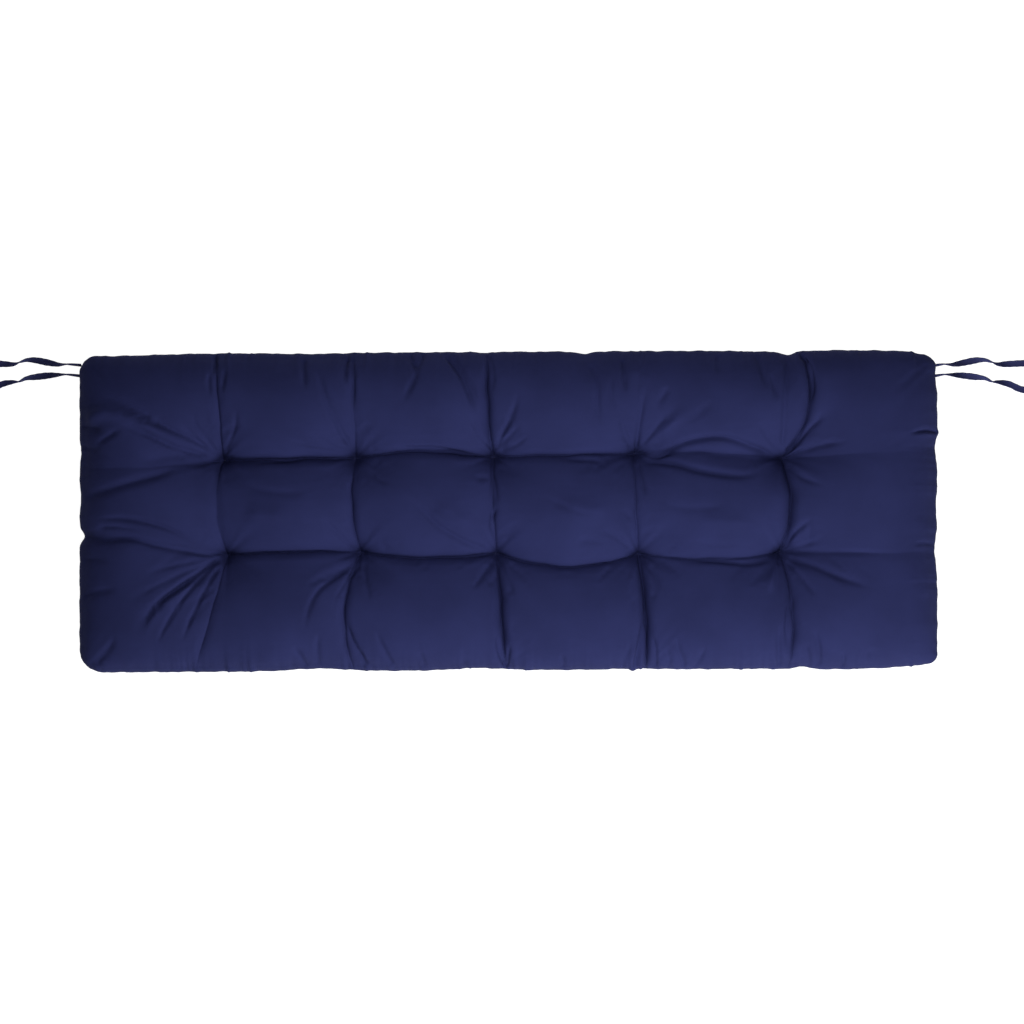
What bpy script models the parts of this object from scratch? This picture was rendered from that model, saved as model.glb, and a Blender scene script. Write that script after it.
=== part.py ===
"""A long tufted bench cushion with two pairs of fabric ties.

The cushion lies on its back with its long side along X and its tie edge at +Y.
The origin is at the bottom centre of the whole part. Tables are in millimetres.
"""
import math
from collections import namedtuple

import bmesh
import bpy
from mathutils import Vector
from mathutils.bvhtree import BVHTree

MM = 0.001

# The cushion as a whole
LENGTH = 1.295
WIDTH = 0.482
CROWN_HEIGHT = 0.106
SEAM_HEIGHT = 0.045
SEAM_BAND = 0.005
TOP_EDGE_ROUND = 0.092
BASE_EDGE_ROUND = 0.060
EDGE_POWER = 2.2
LEAN = 0.0055

# The tufts and the channels that run between them
TUFT_DEPTH = 0.034
TUFT_SPREAD = 0.020
CHANNEL_DEPTH = 0.017
CHANNEL_WIDTH = 0.016
MIDWAY_SHARE = 0.55
BASE_TUFT_DEPTH = 0.013
BASE_CHANNEL_DEPTH = 0.004
FADE_IN = 0.045

# Grid lines beside an edge, beside a channel, and between them
EDGE_STEPS = [0.0, 0.0015, 0.006, 0.014, 0.027, 0.046]
CHANNEL_STEPS = [0.0, 0.009, 0.022]
FILL_ALONG = [5, 4, 4, 4, 4, 6]
FILL_ACROSS = [3, 3, 2]

Column = namedtuple("Column", "back_x upper_x upper_y lower_x lower_y front_x back_bow middle_bow front_bow")
COLUMNS = [
    Column(-441, -426, 80, -426, -65, -471, 1, -11, 2),
    Column(-236, -230, 81, -223, -59, -232, 1, -9, -19),
    Column(-32, -22, 80, -18, -60, -4, -4, -3, 0),
    Column(188, 191, 83, 195, -59, 206, 4, -3, 5),
    Column(463, 412, 83, 408, -59, 420, 13, 12, 12),
]

# Height of each row of channels at the two ends, and its bow in each gap from left to right
Row = namedtuple("Row", "left_y right_y bows left_share right_share")
ROWS = [
    Row(-38, -62, [6, 3, -7, -19, -9, 0], 0.45, 0.30),
    Row(66, 92, [-6, 0, 9, 1, 6, 0], 0.35, 0.12),
]

# Folds: start, end, sideways bow, depth at start and at end, half width. A ridge is negative.
Fold = namedtuple("Fold", "x0 y0 x1 y1 bow depth0 depth1 width")
FOLDS = [
    Fold(-589, 162, -466, 97, -2, 7, 9, 15),
    Fold(-636, 134, -478, 92, 18, -7, -5, 13),
    Fold(-615, 100, -530, 106, 12, 7, 5, 12),
    Fold(-520, 66, -590, 64, 0, 5, 3, 18),
    Fold(-432, -74, -562, -200, -14, 10, 5, 13),
    Fold(-436, -82, -512, -190, 4, -4, -3, 12),
    Fold(-623, -232, -585, -182, 0, 6, 3, 9),
    Fold(214, 84, 398, 84, -27, 9, 8, 12),
    Fold(214, 80, 385, 60, 18, 7, 6, 12),
    Fold(190, 96, 166, 228, 4, 7, 6, 11),
    Fold(190, 96, 210, 196, 3, 6, 3, 11),
    Fold(207, -150, 190, -232, 0, 4, 6, 13),
    Fold(413, 98, 420, 232, -3, 5, 6, 10),
    Fold(420, 96, 494, 152, -6, 6, 3, 12),
    Fold(424, -65, 552, -118, 4, 6, 3, 14),
    Fold(-153, 23, -60, -48, 5, 5, 4, 14),
    Fold(-93, 234, -46, 146, 6, 5, 3, 12),
    Fold(-240, -176, -211, -234, 0, 6, 6, 10),
]

# Places where the seam is drawn in, or stands out where the amount is negative
Draw = namedtuple("Draw", "side place amount spread")
DRAWS = [
    Draw("back", -600, 3, 90),
    Draw("back", 114, 4, 14),
    Draw("back", 418, 5, 15),
    Draw("back", 560, 2, 40),
    Draw("front", -285, 4, 55),
    Draw("front", -45, 3.5, 50),
    Draw("front", 190, -3, 9),
    Draw("front", 445, 4, 16),
    Draw("left", -38, 8, 10),
    Draw("left", 84, 2, 20),
    Draw("right", 92, 4, 22),
    Draw("right", -60, 4, 28),
]

Corner = namedtuple("Corner", "side_x side_y radius")
CORNERS = [Corner(-1, 1, 26), Corner(1, 1, 22), Corner(-1, -1, 36), Corner(1, -1, 15)]

# The ties: a folded and stitched strip of the cushion's cloth
TIE_WIDTH = 0.010
TIE_THICKNESS = 0.0015
TIE_REACH = 0.913
TIE_STEPS = 52
SEATING_GAP = 0.0003

# How far out along X, how high its middle is, and its turn about its own length
Station = namedtuple("Station", "out height turn")
TIE_STATIONS = [
    Station(0, 45, 70), Station(10, 43, 90), Station(24, 37, 128), Station(41, 26, 172),
    Station(61, 14.5, 196), Station(77, 6.6, 238), Station(87, 5.3, 270), Station(96, 4.6, 308),
    Station(113, 1.6, 352), Station(132, 0.8, 360), Station(200, 0.8, 360), Station(265, 0.8, 360),
]

# Sideways place at the same stations, from where the tie leaves the seam
UPPER_SWAY = [0, 1.5, 1, 4.5, 8.5, 9, 6, 3, 3.5, 4.5, 6, 3]
LOWER_SWAY = [0, 2, 1.5, 1, -0.8, -3, -7.5, -8, -11, -19, -30, -37]

Tie = namedtuple("Tie", "name side seam_y sway shift")
TIES = [
    Tie("tie_right_back", 1, 220, UPPER_SWAY, 0),
    Tie("tie_right_front", 1, 204, LOWER_SWAY, 0),
    Tie("tie_left_back", -1, 220, UPPER_SWAY, 9),
    Tie("tie_left_front", -1, 204, LOWER_SWAY, 9),
]


def clear_scene():
    for item in list(bpy.data.objects):
        bpy.data.objects.remove(item, do_unlink=True)


def make_collection(name):
    group = bpy.data.collections.new(name)
    bpy.context.scene.collection.children.link(group)
    return group


def cloth_material(name, colour, roughness):
    material = bpy.data.materials.new(name)
    material.use_nodes = True
    shader = material.node_tree.nodes["Principled BSDF"]
    shader.inputs["Base Color"].default_value = (*colour, 1.0)
    shader.inputs["Roughness"].default_value = roughness
    shader.inputs["Metallic"].default_value = 0.0
    return material


def cut_box(steps_x, steps_y):
    """A cube from -1 to 1 whose X and Y edges are cut into even steps."""
    bm = bmesh.new()
    bmesh.ops.create_cube(bm, size=2.0)
    for axis, steps in ((0, steps_x), (1, steps_y)):
        if steps < 2:
            continue
        along = [e for e in bm.edges if abs(e.verts[0].co[axis] - e.verts[1].co[axis]) > 1.0]
        bmesh.ops.subdivide_edges(bm, edges=along, cuts=steps - 1, use_grid_fill=True)
    return bm


def bowed(start, end, bow, share):
    """A value between start and end that bows away from the straight line midway."""
    return start + (end - start) * share + bow * 4.0 * share * (1.0 - share)


def column_x(column, y):
    """X of a column's channel at a place y across the cushion."""
    half = WIDTH / 2
    upper = column.upper_y * MM
    lower = column.lower_y * MM
    if y > upper:
        share = min((y - upper) / (half - upper), 1.0)
        return bowed(column.upper_x, column.back_x, column.back_bow, share) * MM
    if y < lower:
        share = min((lower - y) / (half + lower), 1.0)
        return bowed(column.lower_x, column.front_x, column.front_bow, share) * MM
    share = (upper - y) / (upper - lower)
    return bowed(column.upper_x, column.lower_x, column.middle_bow, share) * MM


def tuft_place(column, row_number):
    if row_number == 0:
        return column.lower_x * MM, column.lower_y * MM
    return column.upper_x * MM, column.upper_y * MM


def row_stations(row_number):
    """The ends of a row and the tufts between them, from left to right."""
    row = ROWS[row_number]
    places = [(-LENGTH / 2, row.left_y * MM)]
    places += [tuft_place(column, row_number) for column in COLUMNS]
    places.append((LENGTH / 2, row.right_y * MM))
    return places


ROW_STATIONS = [row_stations(number) for number in range(len(ROWS))]


def row_gap(row_number, x):
    """Which gap of a row the place x is in, and how far through it."""
    places = ROW_STATIONS[row_number]
    gap = 0
    while gap < len(places) - 2 and x > places[gap + 1][0]:
        gap += 1
    share = (x - places[gap][0]) / (places[gap + 1][0] - places[gap][0])
    return gap, min(max(share, 0.0), 1.0)


def row_y(row_number, x):
    gap, share = row_gap(row_number, x)
    places = ROW_STATIONS[row_number]
    bow = ROWS[row_number].bows[gap] * MM
    return bowed(places[gap][1], places[gap + 1][1], bow, share)


def drawn(side, place):
    """How far the seam is drawn in on a side, at a place along it."""
    total = 0.0
    for draw in DRAWS:
        if draw.side == side:
            total += draw.amount * MM * math.exp(-((place / MM - draw.place) / draw.spread) ** 2)
    return total


def end_x(side, y):
    name = "right" if side > 0 else "left"
    return side * (LENGTH / 2 - drawn(name, y))


def edge_y(side, x):
    name = "back" if side > 0 else "front"
    return side * (WIDTH / 2 - drawn(name, x)) + LEAN * x


def line_places(anchors, fills):
    """Places of the grid lines: close together at the anchors, even between them."""
    places = []
    last = len(anchors) - 1
    for gap, fill in enumerate(fills):
        near = EDGE_STEPS if gap == 0 else CHANNEL_STEPS
        far = EDGE_STEPS if gap + 1 == last else CHANNEL_STEPS
        low = [anchors[gap] + step for step in near]
        high = [anchors[gap + 1] - step for step in reversed(far)]
        stride = (high[0] - low[-1]) / (fill + 1)
        places += low
        places += [low[-1] + stride * number for number in range(1, fill + 1)]
        places += high[:-1]
    places.append(anchors[last])
    return places


def lines_along(y):
    anchors = [end_x(-1, y)] + [column_x(column, y) for column in COLUMNS] + [end_x(1, y)]
    return line_places(anchors, FILL_ALONG)


def lines_across(x):
    anchors = [edge_y(-1, x), row_y(0, x), row_y(1, x), edge_y(1, x)]
    return line_places(anchors, FILL_ACROSS)


def crossing(column_line, row_line):
    """Where a grid line across meets a grid line along; both bend with the channels."""
    x = 0.0
    y = 0.0
    for _ in range(7):
        x = lines_along(y)[column_line]
        y = lines_across(x)[row_line]
    return x, y


def round_corner(x, y):
    """Moves a point near a square corner onto the same place in a rounded one."""
    for corner in CORNERS:
        if corner.side_x * x <= 0 or corner.side_y * y <= 0:
            continue
        radius = corner.radius * MM
        centre_x = end_x(corner.side_x, y) - corner.side_x * radius
        centre_y = edge_y(corner.side_y, x) - corner.side_y * radius
        a = corner.side_x * (x - centre_x) / radius
        b = corner.side_y * (y - centre_y) / radius
        if a > 0 and b > 0:
            x = centre_x + corner.side_x * radius * a * math.sqrt(1 - min(b, 1.0) ** 2 / 2)
            y = centre_y + corner.side_y * radius * b * math.sqrt(1 - min(a, 1.0) ** 2 / 2)
    return x, y


def rise(distance, reach):
    """Rounded rise from the seam, 0 at the edge and 1 from reach inwards."""
    share = min(max(distance / reach, 0.0), 1.0)
    return (1 - (1 - share) ** EDGE_POWER) ** (1 / EDGE_POWER)


def trough(distance, width):
    """A channel's section: 1 at its line, with round shoulders."""
    return 1.0 / (1.0 + (distance / width) ** 2) ** 1.5


def fold_points(fold):
    """The fold's bent line as short straight pieces with the depth at each point."""
    start = Vector((fold.x0, fold.y0)) * MM
    end = Vector((fold.x1, fold.y1)) * MM
    sideways = Vector((start.y - end.y, end.x - start.x)).normalized() * fold.bow * MM
    points = []
    pieces = 6
    for number in range(pieces + 1):
        share = number / pieces
        place = start.lerp(end, share) + sideways * 4 * share * (1 - share)
        ends = min(share, 1 - share) * pieces
        strength = min(0.35 + 0.65 * ends, 1.0)
        points.append((place, (fold.depth0 + (fold.depth1 - fold.depth0) * share) * strength * MM))
    return points


FOLD_LINES = [(fold_points(fold), fold.width * MM) for fold in FOLDS]


def fold_depth(x, y):
    """Summed depth of the folds at a point."""
    here = Vector((x, y))
    total = 0.0
    for points, width in FOLD_LINES:
        nearest = None
        for (start, depth0), (end, depth1) in zip(points, points[1:]):
            along = end - start
            share = min(max((here - start).dot(along) / along.length_squared, 0.0), 1.0)
            distance = (here - start - along * share).length
            if nearest is None or distance < nearest[0]:
                nearest = (distance, depth0 + (depth1 - depth0) * share)
        if nearest[0] < width * 3:
            total += nearest[1] * math.exp(-(nearest[0] / width) ** 2)
    return total


def channel_strength(share, ends=(True, True)):
    """Deep beside a tuft and shallower midway or at the seam."""
    first = 1 - share if ends[0] else 0.0
    second = share if ends[1] else 0.0
    return MIDWAY_SHARE + (1 - MIDWAY_SHARE) * max(first, second) ** 3


def column_depth(x, y):
    """Depth of the nearest column channel, as a share of the full depth."""
    best = 0.0
    for column in COLUMNS:
        upper = column.upper_y * MM
        lower = column.lower_y * MM
        if y > upper:
            share = (y - upper) / (WIDTH / 2 - upper)
            strength = channel_strength(share, (True, False))
        elif y < lower:
            share = (lower - y) / (WIDTH / 2 + lower)
            strength = channel_strength(share, (True, False))
        else:
            strength = channel_strength((upper - y) / (upper - lower))
        best = max(best, strength * trough(x - column_x(column, y), CHANNEL_WIDTH))
    return best


def row_depth(x, y):
    """Depth of the nearest row channel, as a share of the full depth."""
    best = 0.0
    for number, row in enumerate(ROWS):
        gap, share = row_gap(number, x)
        if gap == 0:
            strength = row.left_share + (1 - row.left_share) * share ** 3
        elif gap == len(COLUMNS):
            strength = row.right_share + (1 - row.right_share) * (1 - share) ** 3
        else:
            strength = channel_strength(share)
        best = max(best, strength * trough(y - row_y(number, x), CHANNEL_WIDTH))
    return best


def tuft_depth(x, y, spread):
    best = 0.0
    for column in COLUMNS:
        for row_number in range(len(ROWS)):
            tuft_x, tuft_y = tuft_place(column, row_number)
            distance = math.hypot(x - tuft_x, y - tuft_y)
            best = max(best, 1.0 / (1.0 + (distance / spread) ** 2) ** 1.5)
    return best


def edge_distance(x, y):
    along = min(x - end_x(-1, y), end_x(1, y) - x)
    across = min(y - edge_y(-1, x), edge_y(1, x) - y)
    return max(along, 0.0), max(across, 0.0)


def top_height(x, y):
    along, across = edge_distance(x, y)
    body = rise(along, TOP_EDGE_ROUND) * rise(across, TOP_EDGE_ROUND)
    fade = min(min(along, across) / FADE_IN, 1.0)
    channels = math.hypot(column_depth(x, y), row_depth(x, y))
    hollow = CHANNEL_DEPTH * min(channels, 1.15)
    hollow += (TUFT_DEPTH - CHANNEL_DEPTH) * tuft_depth(x, y, TUFT_SPREAD)
    hollow += fold_depth(x, y)
    lowest = SEAM_HEIGHT + SEAM_BAND / 2
    return lowest + (CROWN_HEIGHT - lowest) * body - hollow * math.sqrt(fade)


def base_height(x, y):
    along, across = edge_distance(x, y)
    body = rise(along, BASE_EDGE_ROUND) * rise(across, BASE_EDGE_ROUND)
    channels = max(column_depth(x, y), row_depth(x, y))
    hollow = max(channels - 0.35, 0.0) * BASE_CHANNEL_DEPTH
    hollow += max(tuft_depth(x, y, TUFT_SPREAD) - 0.12, 0.0) * BASE_TUFT_DEPTH
    return (SEAM_HEIGHT - SEAM_BAND / 2) * (1 - body) + hollow * body


def build_cushion(collection, material):
    """One filled solid: a cut box whose points move onto the cushion's two panels."""
    columns = len(lines_along(0.0)) - 1
    rows = len(lines_across(0.0)) - 1
    bm = cut_box(columns, rows)
    for vert in bm.verts:
        column_line = round((vert.co.x + 1) / 2 * columns)
        row_line = round((vert.co.y + 1) / 2 * rows)
        x, y = crossing(column_line, row_line)
        height = top_height(x, y) if vert.co.z > 0 else base_height(x, y)
        vert.co = Vector((*round_corner(x, y), height))
    lows = [min(v.co[axis] for v in bm.verts) for axis in (0, 1)]
    highs = [max(v.co[axis] for v in bm.verts) for axis in (0, 1)]
    middle = Vector(((lows[0] + highs[0]) / 2, (lows[1] + highs[1]) / 2, 0.0))
    bmesh.ops.translate(bm, verts=bm.verts, vec=-middle)
    return finish_mesh(bm, "cushion", collection, material)


def finish_mesh(bm, name, collection, material):
    bmesh.ops.triangulate(bm, faces=bm.faces, quad_method="SHORT_EDGE")
    bmesh.ops.recalc_face_normals(bm, faces=bm.faces)
    mesh = bpy.data.meshes.new(name)
    bm.to_mesh(mesh)
    bm.free()
    mesh.shade_smooth()
    mesh.set_sharp_from_angle(angle=math.radians(50))
    mesh.materials.append(material)
    item = bpy.data.objects.new(name, mesh)
    collection.objects.link(item)
    return item


def smooth_value(places, values, at):
    """Reads a smooth curve through the table's points (Hermite, slopes from neighbours)."""
    gap = 0
    while gap < len(places) - 2 and at > places[gap + 1]:
        gap += 1

    def slope(number):
        before = max(number - 1, 0)
        after = min(number + 1, len(places) - 1)
        return (values[after] - values[before]) / (places[after] - places[before])

    span = places[gap + 1] - places[gap]
    t = min(max((at - places[gap]) / span, 0.0), 1.0)
    start = (1 + 2 * t) * (1 - t) ** 2 * values[gap] + t * (1 - t) ** 2 * span * slope(gap)
    end = t * t * (3 - 2 * t) * values[gap + 1] - t * t * (1 - t) * span * slope(gap + 1)
    return start + end


def tie_point(tie, out, root_x):
    """Middle of the tie and its width direction at a distance out from the seam."""
    reach = TIE_REACH / MM - root_x / MM
    places = [station.out + (tie.shift if 0 < number < len(TIE_STATIONS) - 1 else 0)
              for number, station in enumerate(TIE_STATIONS)]
    places[-1] = reach
    sway = smooth_value(places, tie.sway, out)
    height = smooth_value(places, [station.height for station in TIE_STATIONS], out)
    turn = math.radians(smooth_value(places, [station.turn for station in TIE_STATIONS], out))
    half = TIE_WIDTH / MM / 2
    floor = half * abs(math.sin(turn)) + TIE_THICKNESS / MM / 2 * abs(math.cos(turn))
    height = max(height, floor)
    middle = Vector((root_x / MM + out, tie.seam_y + sway, height)) * MM
    return middle, turn


def seat_x(tie, cushion_tree):
    """How far out along X the cushion's side reaches where a tie is sewn on."""
    reaches = []
    for sideways in (-4, -2, 0, 2, 4):
        for upwards in (-5, -2.5, 0, 2.5, 5):
            start = Vector((tie.side * LENGTH, (tie.seam_y + sideways) * MM, SEAM_HEIGHT + upwards * MM))
            reaches.append(abs(cushion_tree.ray_cast(start, Vector((-tie.side, 0, 0)))[0].x))
    return max(reaches)


def build_tie(tie, cushion_tree, collection, material):
    """A flat strip, cut into steps, that is turned and laid along its route."""
    root_x = seat_x(tie, cushion_tree) + SEATING_GAP
    reach = (TIE_REACH - root_x) / MM
    bm = cut_box(TIE_STEPS, 1)
    for vert in bm.verts:
        share = (vert.co.x + 1) / 2
        out = reach * share
        middle, turn = tie_point(tie, out, root_x)
        ahead = tie_point(tie, min(out + 1, reach), root_x)[0]
        behind = tie_point(tie, max(out - 1, 0), root_x)[0]
        along = Vector((1, 0, 0)) if share < 0.001 else (ahead - behind).normalized()
        level = Vector((0, 0, 1)).cross(along).normalized()
        upright = along.cross(level)
        flat = level * math.cos(turn) + upright * math.sin(turn)
        thick = along.cross(flat)
        place = middle + flat * vert.co.y * TIE_WIDTH / 2 + thick * vert.co.z * TIE_THICKNESS / 2
        place.x *= tie.side
        vert.co = place
    settle(bm)
    return finish_mesh(bm, tie.name, collection, material)


def settle(bm):
    """Lets no point of the tie go below the surface that it lies on."""
    for vert in bm.verts:
        vert.co.z = max(vert.co.z, 0.0)


def surface_tree(item):
    bm = bmesh.new()
    bm.from_mesh(item.data)
    tree = BVHTree.FromBMesh(bm)
    bm.free()
    return tree


def main():
    clear_scene()
    collection = make_collection("bench_cushion")
    navy_cloth = cloth_material("navy_cloth", (0.020, 0.023, 0.077), 0.85)
    tie_cloth = cloth_material("tie_cloth", (0.022, 0.025, 0.080), 0.85)
    cushion = build_cushion(collection, navy_cloth)
    tree = surface_tree(cushion)
    for tie in TIES:
        build_tie(tie, tree, collection, tie_cloth)


main()
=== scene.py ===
# %% [markdown]
# # A tufted bench cushion in navy cloth
#
# The real cushion is two long panels of woven polyester, sewn together round the edge, turned out
# and filled with loose fibre. Ten thread tacks pull the two panels together, and the cloth falls
# into soft channels between them. Two pairs of ties are caught in the seam at the back corners.
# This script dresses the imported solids: it builds fine meshes in the same place and size.

import math
from collections import namedtuple

import bpy
import numpy as np
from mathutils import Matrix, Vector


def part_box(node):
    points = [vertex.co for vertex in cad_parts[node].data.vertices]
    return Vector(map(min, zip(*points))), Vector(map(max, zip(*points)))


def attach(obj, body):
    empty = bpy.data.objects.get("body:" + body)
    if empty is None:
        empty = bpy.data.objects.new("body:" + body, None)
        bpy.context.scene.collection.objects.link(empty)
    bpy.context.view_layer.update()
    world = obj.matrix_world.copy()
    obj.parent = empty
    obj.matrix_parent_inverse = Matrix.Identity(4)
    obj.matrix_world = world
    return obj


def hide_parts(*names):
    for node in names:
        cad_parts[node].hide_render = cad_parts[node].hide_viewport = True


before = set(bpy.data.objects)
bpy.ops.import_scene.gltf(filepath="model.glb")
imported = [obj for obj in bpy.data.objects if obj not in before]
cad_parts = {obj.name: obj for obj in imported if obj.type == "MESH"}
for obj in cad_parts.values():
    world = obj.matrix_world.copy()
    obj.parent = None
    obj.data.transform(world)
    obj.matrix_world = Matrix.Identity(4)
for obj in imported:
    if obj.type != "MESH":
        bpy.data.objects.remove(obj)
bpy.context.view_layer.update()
MM = 0.001

# %% [markdown]
# ## Camera, floor and light
#
# The photo looks straight down at the cushion from far away, so a long lens high above the centre
# gives the same flat view. Three soft boxes light it: the main one overhead, one low in front and
# one low at the front right, so each pillow is palest at its front right and the left end is dim.
# A floor that glows a little stays as white as the photo's.

# %% The camera above the cushion
PICTURE_WIDTH = 1.5455
SEAM_HEIGHT = 0.045
LENS_MM = 135
SENSOR_MM = 36
CAMERA_X = 0.0053
CAMERA_Y = -0.0015


def add_object(name, data):
    """A new object in the scene that shows this mesh, light or camera."""
    item = bpy.data.objects.new(name, data)
    bpy.context.scene.collection.objects.link(item)
    return item


camera_data = bpy.data.cameras.new("camera")
camera_data.lens = LENS_MM
camera_data.sensor_width = SENSOR_MM
camera = add_object("camera", camera_data)
camera_height = SEAM_HEIGHT + PICTURE_WIDTH * LENS_MM / SENSOR_MM
camera.location = (CAMERA_X, CAMERA_Y, camera_height)
bpy.context.scene.camera = camera
bpy.context.scene.view_settings.view_transform = "Standard"
print("camera height", round(camera_height, 3))

# %% Floor, soft boxes and the pale room
FLOOR_SIZE = 200
FLOOR_DROP = 0.0006
FLOOR_GREY = 0.35
FLOOR_GLOW = 1.0
ROOM_GLOW = 0.04


def soft_box(name, place, target, size, watts):
    """A square of light that faces the target, as a studio's soft box does."""
    data = bpy.data.lights.new(name, "AREA")
    data.shape = "RECTANGLE"
    data.size = size
    data.size_y = size
    data.energy = watts
    box = add_object(name, data)
    box.location = place
    aside, ahead, up = [target[axis] - place[axis] for axis in range(3)]
    tilt = math.atan2(math.hypot(aside, ahead), -up)
    box.rotation_euler = (tilt, 0, math.atan2(ahead, aside) - math.pi / 2)


def shader_of(material):
    return material.node_tree.nodes["Principled BSDF"]


def new_material(name, colour, roughness):
    material = bpy.data.materials.new(name)
    material.use_nodes = True
    shader = shader_of(material)
    shader.inputs["Base Color"].default_value = (*colour, 1)
    shader.inputs["Roughness"].default_value = roughness
    return material


floor_material = new_material("pale_floor", (FLOOR_GREY, FLOOR_GREY, FLOOR_GREY), 0.9)
shader_of(floor_material).inputs["Emission Color"].default_value = (1, 1, 1, 1)
shader_of(floor_material).inputs["Emission Strength"].default_value = FLOOR_GLOW
bpy.ops.mesh.primitive_plane_add(size=FLOOR_SIZE, location=(0, 0, -FLOOR_DROP))
floor = bpy.context.object
floor.name = "floor"
floor.data.materials.append(floor_material)

soft_box("overhead_box", place=(0.10, 0.0, 1.25), target=(0.10, 0, 0), size=1.0, watts=11.6)
soft_box("front_box", place=(0.6, -1.6, 1.0), target=(0.2, 0, 0), size=1.0, watts=29)
soft_box("right_box", place=(1.8, -1.8, 1.2), target=(0.1, 0, 0), size=1.2, watts=22)
room = bpy.data.worlds.new("room")
room.use_nodes = True
room.node_tree.nodes["Background"].inputs["Color"].default_value = (1, 1, 1, 1)
room.node_tree.nodes["Background"].inputs["Strength"].default_value = ROOM_GLOW
bpy.context.scene.world = room

# %% [markdown]
# ## The outline of the two panels
#
# A cutter would draw a rectangle with rounded corners. Stuffing and stitching move the sewn edge:
# it is drawn in where a channel reaches it and stands out between. So the outline is the plain
# rectangle less a table of small draws, each a soft bump of its own amount and spread.

# %% Sizes and the draws of the sewn edge, in millimetres
LENGTH = 1.295
WIDTH = 0.482
# The long sides lean this much to the back for each metre to the right
LEAN = 0.0055
# Where each side is drawn in, by how much and how widely. A negative amount stands out instead.
DRAWS = {
    "back": [
        (-600, 3, 90), (-300, 1.5, 60), (114, 4, 14), (-38, 2, 9), (421, 5, 13), (400, 2, 60),
        (560, 1, 40), (648, 9, 42),
    ],
    "front": [
        (650, 6, 55), (-285, 4, 55), (-45, 3.5, 50), (188, -4, 5), (190, 1.5, 40), (445, 4, 16),
        (480, -1.5, 60),
    ],
    "left": [(-38, 8, 9), (84, 2, 20), (17, 2.5, 14)],
    "right": [(92, 4, 16), (118, -2, 6), (-60, 4, 28), (10, 2, 24), (205, 3, 20)],
}
Corner = namedtuple("Corner", "side_x side_y radius")
CORNERS = [Corner(-1, 1, 26), Corner(1, 1, 22), Corner(-1, -1, 36), Corner(1, -1, 15)]
# Waves along the edge: the length of each in metres and its height in millimetres
SCALLOPS = [(0.0094, 0.05), (0.0147, 0.12), (0.0263, 0.28), (0.048, 0.32)]
SCALLOP_DRIFT = 1.5
DRIFT_LENGTH = 0.07


def drawn(side, place):
    """How far the sewn edge is drawn in, with the small scallops that gathering leaves."""
    total = np.zeros_like(place)
    for number, (length, amount) in enumerate(SCALLOPS):
        turns = 2 * math.pi * place / length + len(side) * (number + 1)
        drift = SCALLOP_DRIFT * np.sin(place / DRIFT_LENGTH + number)
        total = total + amount * MM * (1 + np.sin(turns + drift))
    for middle, amount, spread in DRAWS[side]:
        total = total + amount * MM * np.exp(-((place / MM - middle) / spread) ** 2)
    return total


def end_x(side, y):
    return side * (LENGTH / 2 - drawn("right" if side > 0 else "left", y))


def edge_y(side, x):
    return side * (WIDTH / 2 - drawn("back" if side > 0 else "front", x)) + LEAN * x


def round_corners(x, y):
    """Moves the points near a square corner onto the same place in a rounded one."""
    for corner in CORNERS:
        radius = corner.radius * MM
        centre_x = end_x(corner.side_x, y) - corner.side_x * radius
        centre_y = edge_y(corner.side_y, x) - corner.side_y * radius
        a = corner.side_x * (x - centre_x) / radius
        b = corner.side_y * (y - centre_y) / radius
        inside = (a > 0) & (b > 0)
        new_x = centre_x + corner.side_x * radius * a * np.sqrt(1 - np.clip(b, 0, 1) ** 2 / 2)
        new_y = centre_y + corner.side_y * radius * b * np.sqrt(1 - np.clip(a, 0, 1) ** 2 / 2)
        x = np.where(inside, new_x, x)
        y = np.where(inside, new_y, y)
    return x, y


print("length and width", LENGTH, WIDTH, "draws", sum(len(draws) for draws in DRAWS.values()))

# %% [markdown]
# ## Tufts and channels
#
# The tacks stand in two rows of five, a little unevenly. Each channel runs from tack to tack, and
# from the outer tacks to the sewn edge, and wanders a few millimetres on its way. A table of
# columns and one of rows says where; a bow is how far a channel strays from the straight line.

# %% Columns and rows of channels, in millimetres
Column = namedtuple("Column", "back_x upper_x upper_y lower_x lower_y front_x bows shares")
COLUMNS = [
    Column(-441, -430, 76, -423, -66, -471, [1, -11, 2], [0.50, 0.25, 0.40]),
    Column(-236, -230, 79, -222, -62, -232, [1, -9, -19], [0.30, 0.75, 0.75]),
    Column(-32, -23, 81, -18, -64, -4, [-4, -3, 0], [1.20, 0.50, 1.45]),
    Column(188, 191, 86, 195, -64, 206, [4, -3, 5], [0.10, 0.50, 1.90]),
    Column(440, 412, 79, 408, -62, 420, [25, 13, 12], [1.10, 1.60, 0.85]),
]
Row = namedtuple("Row", "left_y right_y bows shares")
ROWS = [
    Row(-38, -62, [6, 3, -7, -19, -9, 0], [0.10, 1.20, 1.20, 1.10, 0.50, 0.03]),
    Row(66, 92, [-6, 0, 9, 1, 6, 0], [0.05, 1.30, 0.90, 0.70, 0.15, 0.02]),
]
print("columns", len(COLUMNS), "rows", len(ROWS))

# %% Where each channel runs
# How far a line wanders from its bow, and the three waves of that wandering
WANDER = 1.2
WANDER_WAVES = (11, 6, 23)
FINE_WANDER = 0.2


def bowed(start, end, bow, share):
    """A bowed line between two places that also wanders a little, as cloth does."""
    middle = 4 * share * (1 - share)
    first, second, fine = WANDER_WAVES
    wander = np.sin(share * first + start) * np.sin(share * second + end)
    wander = wander + FINE_WANDER * np.sin(share * fine + bow)
    return start + (end - start) * share + (bow + WANDER * wander) * middle


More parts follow.
